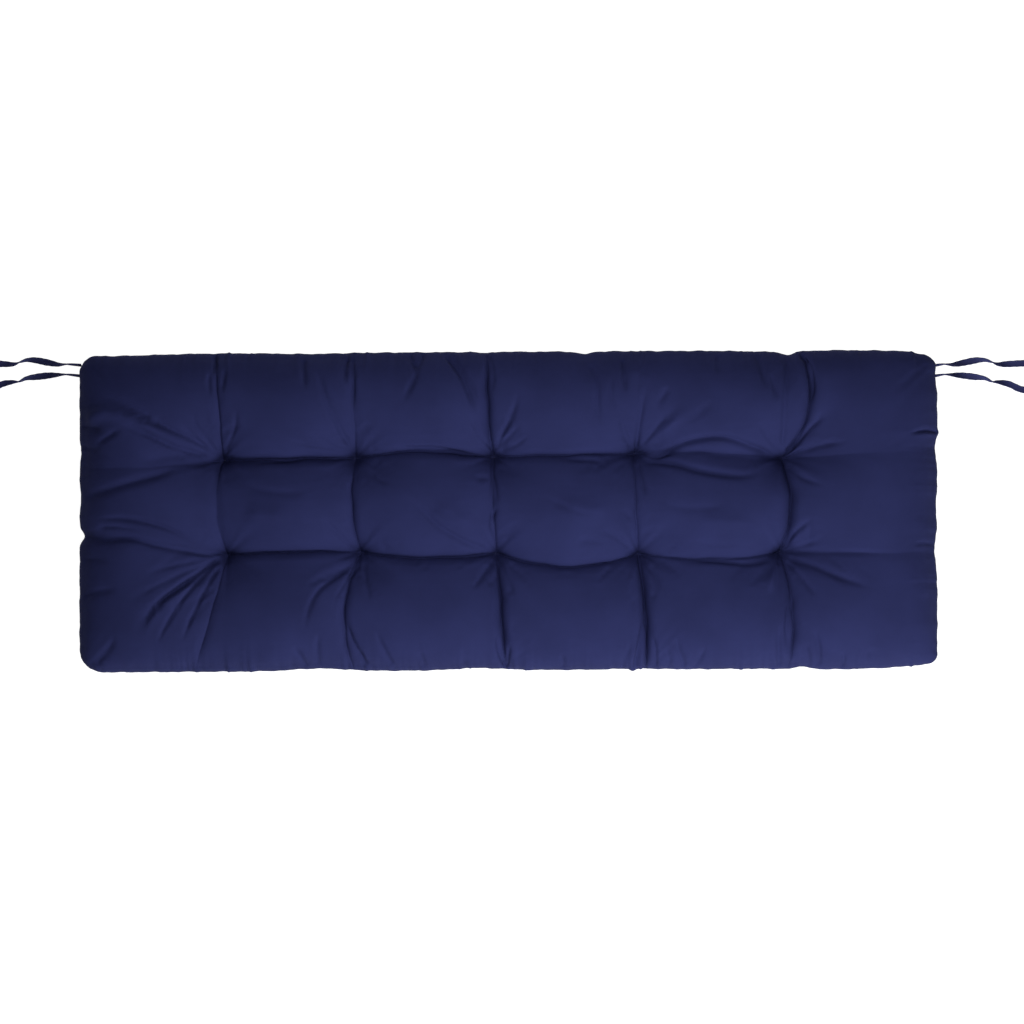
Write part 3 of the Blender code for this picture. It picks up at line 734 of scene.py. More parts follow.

# %% [markdown]
# ## Creases
#
# Cloth that is drawn down at a tack has too much length beside it, and the spare falls into
# creases. They could be left to the cloth simulation, but then they'd fall anywhere. So each one
# is a short line of points, read from the photo, with a depth and a half width. A negative
# depth is a ridge. A lip, where there is one, is the raised cloth on the line's left hand.

# %% The creases, in millimetres from the cushion's centre
Crease = namedtuple("Crease", "depth width points lip", defaults=[0])
CREASE_TABLE = [
    # The long soft fold across the left end, and the creases beside it
    (-6.8, 6.5, [(-638, 136), (-601, 148), (-562, 137), (-528, 121), (-485, 100)]),
    (7.0, 3.8, [(-618, 174), (-591, 166), (-563, 151), (-534, 136), (-503, 121), (-471, 106), (-441, 86)]),
    (5.6, 3.2, [(-583, 131), (-562, 124), (-538, 113), (-512, 100), (-481, 89), (-444, 78)]),
    (6.2, 4.5, [(-650, 127), (-632, 124), (-607, 121)]),
    (3.5, 3.2, [(-623, 97), (-601, 110), (-577, 125)]),
    (5.0, 6, [(-640, 18), (-603, 31), (-560, 44), (-520, 55), (-490, 66)]),
    (4.6, 12, [(-560, 72), (-520, 79), (-483, 83), (-446, 80)]),
    (3.1, 3.5, [(-648, 152), (-632, 157), (-611, 154)]),
    (2.9, 3, [(-647, 98), (-629, 92), (-611, 94)]),
    (5, 3.6, [(-623, -12), (-586, -11), (-544, -17), (-502, -30), (-466, -51)]),
    (4, 3.6, [(-647, -39), (-607, -44), (-568, -41), (-529, -51), (-481, -60), (-429, -68)]),
    (2.8, 3, [(-623, -26), (-586, -24), (-550, -30)]),
    (2.4, 3.2, [(-641, -75), (-623, -72), (-598, -75)]),
    (3.1, 4, [(-641, -131), (-617, -122), (-583, -116)]),
    # The fan below the lower left tack
    (8.1, 4, [(-432, -71), (-446, -80), (-482, -107), (-518, -133), (-541, -160), (-559, -196)], 1.6),
    (4.2, 3, [(-432, -74), (-469, -110), (-493, -140), (-514, -174), (-529, -204)]),
    (3.5, 2.8, [(-431, -77), (-457, -125), (-476, -165), (-490, -198)]),
    (2, 3, [(-435, -71), (-490, -94), (-538, -118), (-577, -143)]),
    (2.4, 3, [(-438, -69), (-487, -78), (-541, -92)]),
    (2.5, 3.4, [(-589, -177), (-598, -207), (-623, -235)]),
    # Short creases above the upper left tack, and the sides of the first channel
    (2.9, 2.8, [(-481, 146), (-460, 118), (-437, 86)]),
    (2.5, 2.8, [(-496, 136), (-469, 112), (-440, 83)]),
    (4.6, 2.6, [(-441, 237), (-440, 222), (-443, 204)]),
    (4.0, 2.6, [(-448, 210), (-448, 192), (-444, 171)]),
    (4.0, 2.6, [(-423, 219), (-426, 198), (-429, 177)]),
    (2.4, 3, [(-426, 89), (-411, 122), (-405, 155)]),
    # Back row, from left to right
    (4.8, 3.2, [(-307, 231), (-306, 210), (-303, 180)]),
    (3.9, 3.2, [(-291, 222), (-281, 195), (-269, 161), (-251, 122), (-235, 92)]),
    (2.8, 3, [(-236, 89), (-269, 94), (-303, 100), (-333, 107)]),
    (3.6, 2.6, [(-233, 234), (-232, 192), (-233, 146)]),
    (4.8, 3.2, [(-241, 234), (-245, 213), (-242, 189)]),
    (2, 2.8, [(-247, 89), (-275, 104), (-306, 122)]),
    (3.9, 3.5, [(-140, 231), (-138, 207), (-147, 186), (-161, 161)]),
    (5.4, 3, [(-149, 238), (-143, 226), (-138, 214)]),
    (4.4, 3, [(-128, 238), (-132, 226), (-135, 214)]),
    (8.4, 3.4, [(-96, 238), (-81, 220), (-67, 196), (-57, 171), (-48, 146)]),
    (4.6, 2.8, [(-85, 237), (-69, 213), (-55, 189), (-43, 161)]),
    (2.8, 3, [(-25, 92), (-40, 110), (-52, 131), (-61, 149)]),
    (2.8, 2.6, [(-29, 235), (-25, 219), (-23, 198), (-25, 174)]),
    (5, 3.2, [(-19, 92), (-11, 113), (-1, 131), (8, 152), (16, 183)]),
    (3.5, 3, [(-16, 92), (-1, 110), (20, 131)]),
    (2.5, 3, [(-14, 88), (10, 98), (32, 116)]),
    (3.8, 4, [(123, 225), (132, 192), (134, 152), (141, 125)]),
    (2, 3, [(156, 210), (153, 180), (156, 149)]),
    (2.8, 3, [(186, 92), (174, 119), (165, 152)]),
    (4.6, 3, [(171, 231), (173, 204), (177, 177)]),
    (3.1, 3, [(192, 92), (195, 122), (201, 161), (208, 192)]),
    (3.1, 3.5, [(198, 92), (217, 119), (235, 140), (259, 158)]),
    (-3.5, 6, [(223, 110), (247, 134), (274, 155)]),
    (3.5, 4, [(221, 155), (232, 174), (241, 186)]),
    (2.8, 3.6, [(265, 131), (289, 151), (307, 161)]),
    (4.4, 3.2, [(411, 92), (413, 137), (414, 183), (420, 234)]),
    (4.6, 3.2, [(404, 165), (398, 186), (393, 210)]),
    (4.0, 3, [(373, 236), (379, 212), (388, 180)]),
    (3.4, 3, [(315, 237), (314, 222), (312, 204)]),
    (4.6, 3.2, [(452, 161), (455, 183), (451, 219), (438, 238)]),
    (2.4, 3, [(404, 92), (386, 113), (374, 137)]),
    (4.6, 4, [(417, 88), (437, 110), (458, 131), (488, 155)]),
    (3.9, 4, [(419, 82), (446, 92), (476, 100), (509, 104)]),
    # Middle row
    (3.1, 3.5, [(-230, -62), (-247, -42), (-263, -26), (-281, -8)]),
    (1.6, 6, [(-411, 47), (-372, 32), (-330, 27), (-288, 32)]),
    (2.5, 3.2, [(-215, 68), (-197, 50), (-176, 38)]),
    (-2.6, 14, [(-398, -2), (-362, -6), (-318, -4)]),
    (-3.2, 14, [(-118, 8), (-80, -8), (-44, -18)]),
    (-3.2, 14, [(66, 8), (112, 2), (158, 2)]),
    (-3.4, 14, [(280, -10), (328, -16), (374, -16)]),
    (4.6, 4.2, [(-156, 26), (-128, 0), (-103, -24), (-79, -39), (-57, -50), (-26, -62)]),
    (1.4, 5, [(-128, 17), (-100, -2), (-70, -11)]),
    (2, 5.5, [(51, 23), (78, 9), (102, 0), (129, -5)]),
    (2.4, 4, [(99, -44), (126, -45), (153, -50)]),
    (2.8, 3.2, [(138, -29), (159, -38), (186, -57)]),
    (3.9, 3.2, [(192, 71), (198, 47), (206, 21)]),
    (2.2, 4, [(274, -45), (313, -51), (352, -48)]),
    (1.6, 7, [(217, 17), (259, 5), (298, 5), (337, 14)]),
    (4.6, 4, [(413, -60), (423, -39), (438, -24), (458, -9)]),
    (2.8, 3.2, [(417, -62), (443, -51), (470, -45)]),
    (2.8, 3.4, [(416, 68), (440, 50), (473, 38)]),
    (2.4, 2.8, [(-26, 62), (-20, 35), (-17, 8)]),
    (3.1, 2.8, [(-17, 8), (-25, -14), (-22, -44)]),
    # The two lips of the flat place between the fourth and fifth upper tacks
    (8.1, 4.2, [(205, 82), (232, 86), (257, 98), (280, 106), (313, 110), (337, 106), (368, 94), (404, 80)]),
    (6.6, 4.2, [(201, 77), (226, 74), (250, 71), (280, 62), (313, 56), (352, 53), (383, 60)]),
    # Second lines beside the channels
    (4.6, 3, [(-174, 98), (-149, 95), (-112, 94), (-72, 88), (-43, 82)], 1),
    (4.2, 3.2, [(271, -74), (307, -74), (361, -78), (395, -71)]),
    (3.1, 3, [(78, 78), (117, 77), (147, 75)], 1.2),
    (2.9, 3, [(-390, 72), (-345, 75), (-300, 78)], 1),
    # Front row
    (3.5, 3.4, [(-229, -74), (-257, -98), (-285, -122), (-300, -152), (-304, -183)]),
    (2.4, 3, [(-224, -77), (-245, -110), (-263, -140)]),
    (5.9, 3.4, [(-242, -168), (-236, -192), (-224, -216), (-211, -237)]),
    (2.8, 3, [(-218, -74), (-214, -107), (-205, -137)]),
    (3.5, 3, [(-200, -177), (-188, -207), (-173, -235)]),
    (3.1, 3, [(-324, -204), (-312, -220), (-303, -237)]),
    (2.5, 3, [(-283, -183), (-286, -207), (-285, -234)]),
    (3.5, 3.4, [(-22, -74), (-37, -95), (-55, -119)]),
    (2.4, 3, [(-16, -74), (-1, -104), (11, -131)]),
    (5, 3, [(-17, -183), (-13, -210), (-5, -237)]),
    (3.9, 2.6, [(2, -198), (-1, -219), (-2, -237)]),
    (2.4, 3, [(-134, -210), (-128, -225), (-126, -237)]),
    (2.4, 3, [(78, -213), (82, -226), (81, -237)]),
    (7, 3.6, [(206, -152), (201, -183), (195, -213), (189, -240)], 1.4),
    (4.6, 3, [(214, -183), (220, -210), (221, -238)]),
    (3.5, 3.2, [(250, -189), (257, -213), (265, -235)]),
    (3.1, 3, [(295, -204), (288, -220), (280, -237)]),
    (2.5, 3, [(235, -204), (241, -220), (242, -237)]),
    (2.4, 3, [(186, -195), (177, -217), (171, -237)]),
    (2.9, 3, [(198, -71), (217, -95), (229, -122)]),
    (4.6, 3.2, [(428, -125), (419, -152), (416, -180), (419, -213)]),
    (3.9, 3, [(407, -168), (404, -201), (408, -237)]),
    (-3.9, 5, [(404, -77), (396, -98), (390, -125)]),
    (3.5, 3.2, [(455, -174), (464, -202), (467, -235)]),
    (2.9, 3, [(440, -195), (449, -216), (452, -237)]),
    (3.8, 3, [(500, -210), (503, -225), (502, -237)]),
    (3.8, 3, [(540, -204), (544, -220), (546, -235)]),
    (4.6, 5, [(416, -71), (452, -80), (494, -98), (546, -116)]),
    (2.8, 3.4, [(414, -74), (440, -101), (461, -131)]),
    (1.8, 4, [(422, -62), (455, -60), (515, -62), (585, -62)]),
    # The right end
    (5.4, 3.2, [(649, 118), (629, 121), (598, 115)]),
    (1.8, 3, [(648, 137), (633, 139), (615, 136)]),
    (2.2, 3, [(645, -51), (627, -48), (606, -51)]),
    (2.4, 3, [(648, -131), (630, -130), (609, -133)]),
]
CREASES = [Crease(*row) for row in CREASE_TABLE]
print("creases", len(CREASES), "of them ridges", sum(crease.depth < 0 for crease in CREASES))

# %% How the creases are pressed into the cloth
# What is taken as lying at the seam or at a tack, and the share over which a crease's end dies out
AT_SEAM = 0.014
AT_TACK = 0.018
QUICK_FADE = 0.10
SLOW_FADE = 0.36
# Counted in half widths: how far a crease is worked out, and where its lip is and how wide
CREASE_REACH = 5
LIP_PLACE = 1.8
LIP_WIDTH = 1.4
FAR_AWAY = 9.0


def smooth_line(points, pieces=5):
    """A rounded line through the points, as more points (Catmull-Rom)."""
    pts = np.array(points, float) * MM
    if len(pts) < 3:
        return pts[0] + (pts[-1] - pts[0]) * np.linspace(0, 1, pieces * 2 + 1)[:, None]
    ends = np.vstack([2 * pts[0] - pts[1], pts, 2 * pts[-1] - pts[-2]])
    out = []
    for number in range(len(pts) - 1):
        a, b, c, d = ends[number:number + 4]
        for t in np.arange(pieces) / pieces:
            curve = 2 * b + (c - a) * t + (2 * a - 5 * b + 4 * c - d) * t * t
            out.append((curve + (3 * b - a - 3 * c + d) * t ** 3) / 2)
    return np.array(out + [pts[-1]])


def line_distance(x, y, line):
    """Signed distance to a line, left of it positive, and how far along it the nearest point is."""
    best = np.full(x.shape, FAR_AWAY)
    signed = np.full(x.shape, FAR_AWAY)
    share = np.zeros(x.shape)
    pieces = len(line) - 1
    for number in range(pieces):
        ax, ay = line[number]
        dx, dy = line[number + 1] - line[number]
        size = dx * dx + dy * dy
        t = np.clip(((x - ax) * dx + (y - ay) * dy) / size, 0, 1)
        away_x = x - ax - t * dx
        away_y = y - ay - t * dy
        distance = np.hypot(away_x, away_y)
        closer = distance < best
        best = np.where(closer, distance, best)
        signed = np.where(closer, np.copysign(distance, dx * away_y - dy * away_x), signed)
        share = np.where(closer, (number + t) / pieces, share)
    return signed, share


def fade_share(point):
    """A crease that starts at a tack or at the seam starts strong; a free end dies out slowly."""
    px, py = np.array(point, float) * MM
    at_seam = min(edge_distances(px, py)) < AT_SEAM
    at_tack = min(math.hypot(px - tx, py - ty) for tx, ty in TUFTS) < AT_TACK
    return QUICK_FADE if at_seam or at_tack else SLOW_FADE


def smooth_step(share):
    share = np.clip(share, 0, 1)
    return share * share * (3 - 2 * share)


def crease_offset(x, y):
    """How far all the creases push the cloth out along its normal."""
    total = np.zeros_like(x)
    for crease in CREASES:
        line = smooth_line(crease.points)
        width = crease.width * MM
        low = line.min(axis=0) - CREASE_REACH * width
        high = line.max(axis=0) + CREASE_REACH * width
        near = (x > low[0]) & (x < high[0]) & (y > low[1]) & (y < high[1])
        signed, share = line_distance(x[near], y[near], line)
        start = smooth_step(share / fade_share(crease.points[0]))
        end = smooth_step((1 - share) / fade_share(crease.points[-1]))
        shape = -crease.depth * np.exp(-np.abs(signed / width) ** 1.5)
        shape += crease.lip * np.exp(-((signed - LIP_PLACE * width) / (LIP_WIDTH * width)) ** 2)
        total[near] += shape * start * end * MM
    return total


crease_lift = crease_offset(plan_x, plan_y)
print("deepest crease mm", round(float(crease_lift.min()) / MM, 1))

# %% [markdown]
# ## The star round each tack
#
# Cloth drawn to a point folds like a fan. A circle of waves that turns about the tack and dies
# away from it gives that fan. Three waves of unlike counts are added, and each tack turns them a
# little further, so no two stars are the same.

# %% The star of small creases round each tack
# How many folds go round the tack, how strong they are and where they start
STAR_WAVES = [(6, 1.0, 0.7), (11, 0.7, 2.9), (16, 0.45, 5.1)]
STAR_HEIGHT = 0.00055
STAR_REACH = 0.017
STAR_TURN = 1.9
STAR_TWIST = 9


def star_offset(x, y):
    total = np.zeros_like(x)
    for number, (tack_x, tack_y) in enumerate(TUFTS):
        distance = np.hypot(x - tack_x, y - tack_y)
        angle = np.arctan2(y - tack_y, x - tack_x)
        wave = np.zeros_like(x)
        for count, strength, start in STAR_WAVES:
            wave += strength * np.sin(count * angle + start + STAR_TURN * number + STAR_TWIST * distance)
        reach = distance / STAR_REACH
        total += STAR_HEIGHT * wave * reach * np.exp(1 - reach)
    return total


star_lift = star_offset(plan_x, plan_y)
print("highest fold of the stars mm", round(float(star_lift.max()) / MM, 2))

# %% [markdown]
# ## Gathers at the sewn edge
#
# The panels are gathered a little as they are sewn, so short puckers stand all along the edge and
# die away within a few centimetres. They are sums of waves along the edge with slightly
# different lengths, which never repeat evenly, fading inwards from the seam.

# %% Puckers beside the seam
# The length of each wave in metres, how strong it is and where it starts
PUCKER_WAVES = [
    (0.0083, 0.55, 0.4), (0.0117, 0.8, 2.1), (0.0171, 0.9, 4.4), (0.0263, 0.7, 1.3), (0.041, 0.5, 3.3),
]
PUCKER_HEIGHT = 0.0008
PUCKER_REACH = 0.016
PUCKER_DRIFT = 0.6
PUCKER_DRIFT_LENGTH = 0.13
# The puckers come in groups, whose strength rises and falls along the seam between two limits
GROUP_LENGTHS = (0.047, 0.019)
GROUP_STRENGTH = 0.5
GROUP_CHANGE = 0.8
GROUP_LIMITS = (0.1, 1.2)
# The cushion's ends are gathered less than its long sides
END_STRIP = 0.03
END_PUCKER_SHARE = 0.35
# The ends read the waves from another stretch, so that they don't repeat the long sides
END_STRETCH = 1.07
END_SHIFT = 0.31


def edge_run(x, y):
    """Distance run along the seam near it: along X on the long sides, along Y on the ends."""
    along, across = edge_distances(x, y)
    return np.where(across < along, x, y * END_STRETCH + np.sign(x) * END_SHIFT)


def pucker_offset(x, y, inward):
    run = edge_run(x, y)
    wave = np.zeros_like(x)
    for length, strength, start in PUCKER_WAVES:
        drift = PUCKER_DRIFT * np.sin(run / PUCKER_DRIFT_LENGTH + start)
        wave += strength * np.sin(2 * math.pi * run / length + start + drift)
    long_group, short_group = GROUP_LENGTHS
    uneven = GROUP_CHANGE * np.sin(run / long_group + 0.5) * np.sin(run / short_group + 1)
    uneven = np.clip(GROUP_STRENGTH + uneven, *GROUP_LIMITS)
    uneven = np.where(np.abs(x) > LENGTH / 2 - END_STRIP, END_PUCKER_SHARE * uneven, uneven)
    return PUCKER_HEIGHT * wave * uneven * np.exp(-inward / PUCKER_REACH)


inward = np.minimum(*edge_distances(plan_x, plan_y))
pucker_lift = pucker_offset(plan_x, plan_y, inward)
print("highest pucker mm", round(float(pucker_lift.max()) / MM, 2))

# %% Move the top panel out and in by all that lies on it
# The creases and the puckers die out in the last millimetres before the seam
CREASE_MARGIN = 0.004
PUCKER_MARGIN = 0.0008


def surface_normals(points):
    along = np.gradient(points, axis=0)
    across = np.gradient(points, axis=1)
    normal = np.cross(along, across)
    return normal / np.maximum(np.linalg.norm(normal, axis=2, keepdims=True), 1e-12)


top_points = np.dstack([*round_corners(plan_x, plan_y), top_z]) + cloth_moves
top_normals = surface_normals(top_points)
lift = (crease_lift + star_lift) * np.clip(inward / CREASE_MARGIN, 0, 1) ** 0.5
lift += pucker_lift * np.clip(inward / PUCKER_MARGIN, 0, 1)
top_points = top_points + top_normals * lift[..., None]
base_points = np.dstack([*round_corners(plan_x, plan_y), base_z])
print("moved in and out mm", round(float(lift.min()) / MM, 1), round(float(lift.max()) / MM, 1))

# %% [markdown]
# ## One closed skin
#
# On the real cushion thread joins the panels all round. Here they become one mesh, so nothing can
# gape: the top panel keeps all its points and the underside every second one. Between them runs the
# seam, a narrow band with a middle line drawn in a little, as thread draws it.

# %% Join the panels with the seam band
SEAM_DRAW = 0.0016


def ring(columns, rows):
    """Grid places round the edge, counterclockwise from the left front corner."""
    bottom = [(i, 0) for i in range(columns - 1)]
    right = [(columns - 1, j) for j in range(rows - 1)]
    top = [(i, rows - 1) for i in range(columns - 1, 0, -1)]
    left = [(0, j) for j in range(rows - 1, 0, -1)]
    return bottom + right + top + left


def run_lengths(points):
    """Metres along and across the cloth to each point, measured over the surface."""
    steps = np.linalg.norm(np.diff(points, axis=0), axis=2)
    along = np.concatenate([np.zeros((1, points.shape[1])), np.cumsum(steps, axis=0)])
    steps = np.linalg.norm(np.diff(points, axis=1), axis=2)
    across = np.concatenate([np.zeros((points.shape[0], 1)), np.cumsum(steps, axis=1)], axis=1)
    return np.dstack([along - along[-1:] / 2, across - across[:, -1:] / 2])


def drawn_seam(rim, under):
    """The seam's middle line: halfway between the panels, drawn in towards the cushion."""
    middle = (rim + under) / 2
    inwards = middle * [0.5, 0.0, 1.0] - middle
    inwards[:, 2] = 0
    inwards /= np.linalg.norm(inwards, axis=1, keepdims=True)
    return middle + inwards * SEAM_DRAW


def join_panels(top, base):
    """Points, faces and cloth places of the top panel, the seam's middle line and the underside."""
    columns, rows = top.shape[:2]
    edge = ring(columns, rows)
    edge_index = tuple(np.array(edge).T)
    coarse = base[::2, ::2]
    seam = drawn_seam(top[edge_index], base[edge_index])
    points = [top.reshape(-1, 3), seam, coarse.reshape(-1, 3)]
    cloth = run_lengths(top)
    cloth_places = [cloth.reshape(-1, 2), cloth[edge_index], run_lengths(coarse).reshape(-1, 2)]
    count = len(edge)
    seam_first = columns * rows
    base_first = seam_first + count
    base_columns, base_rows = coarse.shape[:2]
    faces = grid_faces(columns, rows)
    # The underside looks down, so its faces run the other way round
    faces += [(a, d, c, b) for a, b, c, d in grid_faces(base_columns, base_rows, base_first)]
    top_edge = [i * rows + j for i, j in edge]
    for n in range(count):
        m = (n + 1) % count
        faces.append((top_edge[n], seam_first + n, seam_first + m, top_edge[m]))
    base_edge = [base_first + (i // 2) * base_rows + j // 2 for i, j in edge[::2]]
    for n in range(0, count, 2):
        near = seam_first + n
        far = seam_first + (n + 2) % count
        faces.append((near, base_edge[n // 2], base_edge[(n // 2 + 1) % len(base_edge)], far, near + 1))
    return np.vstack(points), faces, np.vstack(cloth_places)


cushion_points, cushion_faces, cushion_cloth = join_panels(top_points, base_points)
cushion_mesh = bpy.data.meshes.new("filled_cushion")
cushion_mesh.from_pydata(cushion_points.tolist(), [], cushion_faces)
cushion_mesh.update()
cushion = add_object("filled_cushion", cushion_mesh)
cushion_mesh.shade_smooth()
print("cushion faces", len(cushion_mesh.polygons))

# %% [markdown]
# ## The woven cloth
#
# The cover is a plain weave of polyester yarn, dyed navy in the piece. The weave follows the cloth,
# so it is drawn in the cushion's own cloth coordinates: metres along and across the panel, measured
# over its surface. Two waves at right angles make the over and under of the yarns, a stretched
# noise makes some yarns thicker, and a broad noise lets the dye vary a little. The weave is also
# painted into the colour as shade: darker where the yarns dip under, paler on their crowns.

# %% A cloth material made of nodes
CLOTH_MAP = "cloth_metres"
YARN_PITCH = 0.0009
YARN_HEIGHT = 0.00012
# How many changes of thickness there are in a metre, along and across the yarns
SLUB_SCALE = (40, 900, 1)
DYE_SCALE = 14.0
# How much painted shade the weave adds to the colour (darker under, paler on the yarn crowns), and where
# the colour is darkest and palest
WEAVE_SHADE_IN_COLOUR = 0.18
DYE_AND_WEAVE_SHADE_STOPS = (0.25, 0.75)
CLOTH_ROUGHNESS = 0.82
CLOTH_SPECULAR = 0.04


def add_node(tree, kind, **values):
    node = tree.nodes.new(kind)
    for name, value in values.items():
        if name in node.inputs:
            node.inputs[name].default_value = value
        else:
            setattr(node, name, value)
    return node


def wire(source, output, target, entry):
    """Joins a node's output to an entry of another node in the same tree."""
    source.id_data.links.new(source.outputs[output], target.inputs[entry])


def add_weave(tree, place):
    """The over and under of the yarns: two waves at right angles, multiplied."""
    turns = add_node(tree, "ShaderNodeVectorMath", operation="SCALE", Scale=2 * math.pi / YARN_PITCH)
    split = add_node(tree, "ShaderNodeSeparateXYZ")
    weave = add_node(tree, "ShaderNodeMath", operation="MULTIPLY")
    wire(place, "UV", turns, 0)
    wire(turns, "Vector", split, "Vector")
    for number, axis in enumerate("XY"):
        yarn = add_node(tree, "ShaderNodeMath", operation="SINE")
        wire(split, axis, yarn, 0)
        wire(yarn, "Value", weave, number)
    return weave


def woven_material(name, colour, dye_and_shade_change, bump_strength):
    material = new_material(name, colour, CLOTH_ROUGHNESS)
    tree = material.node_tree
    shader = shader_of(material)
    shader.inputs["Specular IOR Level"].default_value = CLOTH_SPECULAR
    place = add_node(tree, "ShaderNodeUVMap", uv_map=CLOTH_MAP)
    weave = add_weave(tree, place)
    stretch = add_node(tree, "ShaderNodeMapping", Scale=SLUB_SCALE)
    slubs = add_node(tree, "ShaderNodeTexNoise", Scale=1.0, Detail=2.0)
    height = add_node(tree, "ShaderNodeMath", operation="ADD")
    bump = add_node(tree, "ShaderNodeBump", Strength=bump_strength, Distance=YARN_HEIGHT)
    wire(place, "UV", stretch, "Vector")
    wire(stretch, "Vector", slubs, "Vector")
    wire(weave, "Value", height, 0)
    wire(slubs, "Fac", height, 1)
    wire(height, "Value", bump, "Height")
    wire(bump, "Normal", shader, "Normal")
    broad = add_node(tree, "ShaderNodeTexNoise", Scale=DYE_SCALE, Detail=4.0)
    # Painted shade: the weave darkens the colour where yarns dip under and pales it on their crowns; the
    # broad noise is real dye that varies
    dye_and_weave_shade = add_node(tree, "ShaderNodeMath", operation="MULTIPLY_ADD")
    dye_and_weave_shade.inputs[1].default_value = WEAVE_SHADE_IN_COLOUR
    tones = add_node(tree, "ShaderNodeValToRGB")
    for stop, position, change in zip(tones.color_ramp.elements, DYE_AND_WEAVE_SHADE_STOPS, (-dye_and_shade_change, dye_and_shade_change)):
        stop.position = position
        stop.color = (*[channel * (1 + change) for channel in colour], 1)
    wire(place, "UV", broad, "Vector")
    wire(weave, "Value", dye_and_weave_shade, 0)
    wire(broad, "Fac", dye_and_weave_shade, 2)
    wire(dye_and_weave_shade, "Value", tones, "Fac")
    wire(tones, "Color", shader, "Base Color")
    return material


def set_cloth_map(mesh, places):
    """Writes each point's cloth coordinates, in metres, to the mesh's UV map."""
    layer = mesh.uv_layers.new(name=CLOTH_MAP)
    points = np.empty(len(mesh.loops), dtype=int)
    mesh.loops.foreach_get("vertex_index", points)
    layer.data.foreach_set("uv", np.asarray(places)[points].ravel())


# %% The cushion's cloth
NAVY = (0.0181, 0.0217, 0.0790)
navy_cloth = woven_material("navy_cloth", NAVY, 0.10, 0.5)
cushion_mesh.materials.append(navy_cloth)
set_cloth_map(cushion_mesh, cushion_cloth)
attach(cushion, "root")
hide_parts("cushion")
print("cloth", navy_cloth.name, "nodes", len(navy_cloth.node_tree.nodes))

# %% [markdown]
# ## Ties
#
# Each tie is a strip of the same cloth, folded in on both edges and closed with one line of
# stitches. It is sewn into the seam on edge, turns over twice as it falls, and then lies flat. A
# table of stations says how far out, how high and how far turned it is. A strip could be run as
# cloth too, but then its turns would fall anywhere; a table keeps them where the solids have them.

# %% The ties' route, in millimetres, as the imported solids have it
TIE_WIDTH = 0.010
TIE_THICKNESS = 0.0015
TIE_END = 0.913
TIE_STEP = 0.0015
# Where a tie is pinched narrow it is this much thicker for each share of its width that is lost
TIE_BUNCHING = 3.0
# A tie is sewn to the strip of edge within this distance of it, and starts a hair outside
SEWN_HALF_WIDTH = 0.0025
SEWN_HAIR = 0.0003
# The edge is measured at this many places, as far as this to both sides of the tie
SEARCH_REACH = 0.03
SEARCH_PLACES = 241
Station = namedtuple("Station", "out height turn narrow")
TIE_STATIONS = [
    Station(0, 45, 70, 0.70), Station(10, 43, 90, 0.75), Station(24, 37, 128, 0.95),
    Station(41, 26, 172, 1), Station(61, 14.5, 196, 1), Station(77, 6.6, 238, 0.85),
    Station(87, 5.3, 270, 0.80), Station(96, 4.6, 308, 0.90), Station(113, 1.6, 352, 1),
    Station(132, 0.8, 360, 1), Station(200, 0.8, 360, 1), Station(265, 0.8, 360, 1),
]
UPPER_SWAY = [0, 1.5, 1, 4.5, 8.5, 9, 6, 3, 3.5, 4.5, 6, 3]
LOWER_SWAY = [0, 2, 1.5, 1, -0.8, -3, -7.5, -8, -11, -19, -30, -37]
Tie = namedtuple("Tie", "node side seam_y sway shift")
TIES = [
    Tie("tie_right_back", 1, 220, UPPER_SWAY, 0), Tie("tie_right_front", 1, 204, LOWER_SWAY, 0),
    Tie("tie_left_back", -1, 220, UPPER_SWAY, 9), Tie("tie_left_front", -1, 204, LOWER_SWAY, 9),
]
print("ties", [tie.node for tie in TIES])


# %% Read a tie's route from the table
def smooth_value(places, values, at):
    """Reads a smooth curve through the table's points (Hermite, slopes from neighbours)."""
    places = np.array(places, float)
    values = np.array(values, float)
    last = len(places) - 1
    before = np.maximum(np.arange(last + 1) - 1, 0)
    after = np.minimum(np.arange(last + 1) + 1, last)
    slopes = (values[after] - values[before]) / (places[after] - places[before])
    gap = np.clip(np.searchsorted(places, at, side="left") - 1, 0, last - 1)
    span = places[gap + 1] - places[gap]
    t = np.clip((at - places[gap]) / span, 0, 1)
    start = (1 + 2 * t) * (1 - t) ** 2 * values[gap] + t * (1 - t) ** 2 * span * slopes[gap]
    end = t * t * (3 - 2 * t) * values[gap + 1] - t * t * (1 - t) * span * slopes[gap + 1]
    return start + end


def side_reach(side, y):
    """How far out the cushion's end comes where a tie is sewn on, and a hair more."""
    places = y + np.linspace(-SEARCH_REACH, SEARCH_REACH, SEARCH_PLACES)
    edge_places_x, edge_places_y = round_corners(end_x(side, places), places)
    beside = np.abs(edge_places_y - y) < SEWN_HALF_WIDTH
    return float(max(side * edge_places_x[beside])) + SEWN_HAIR


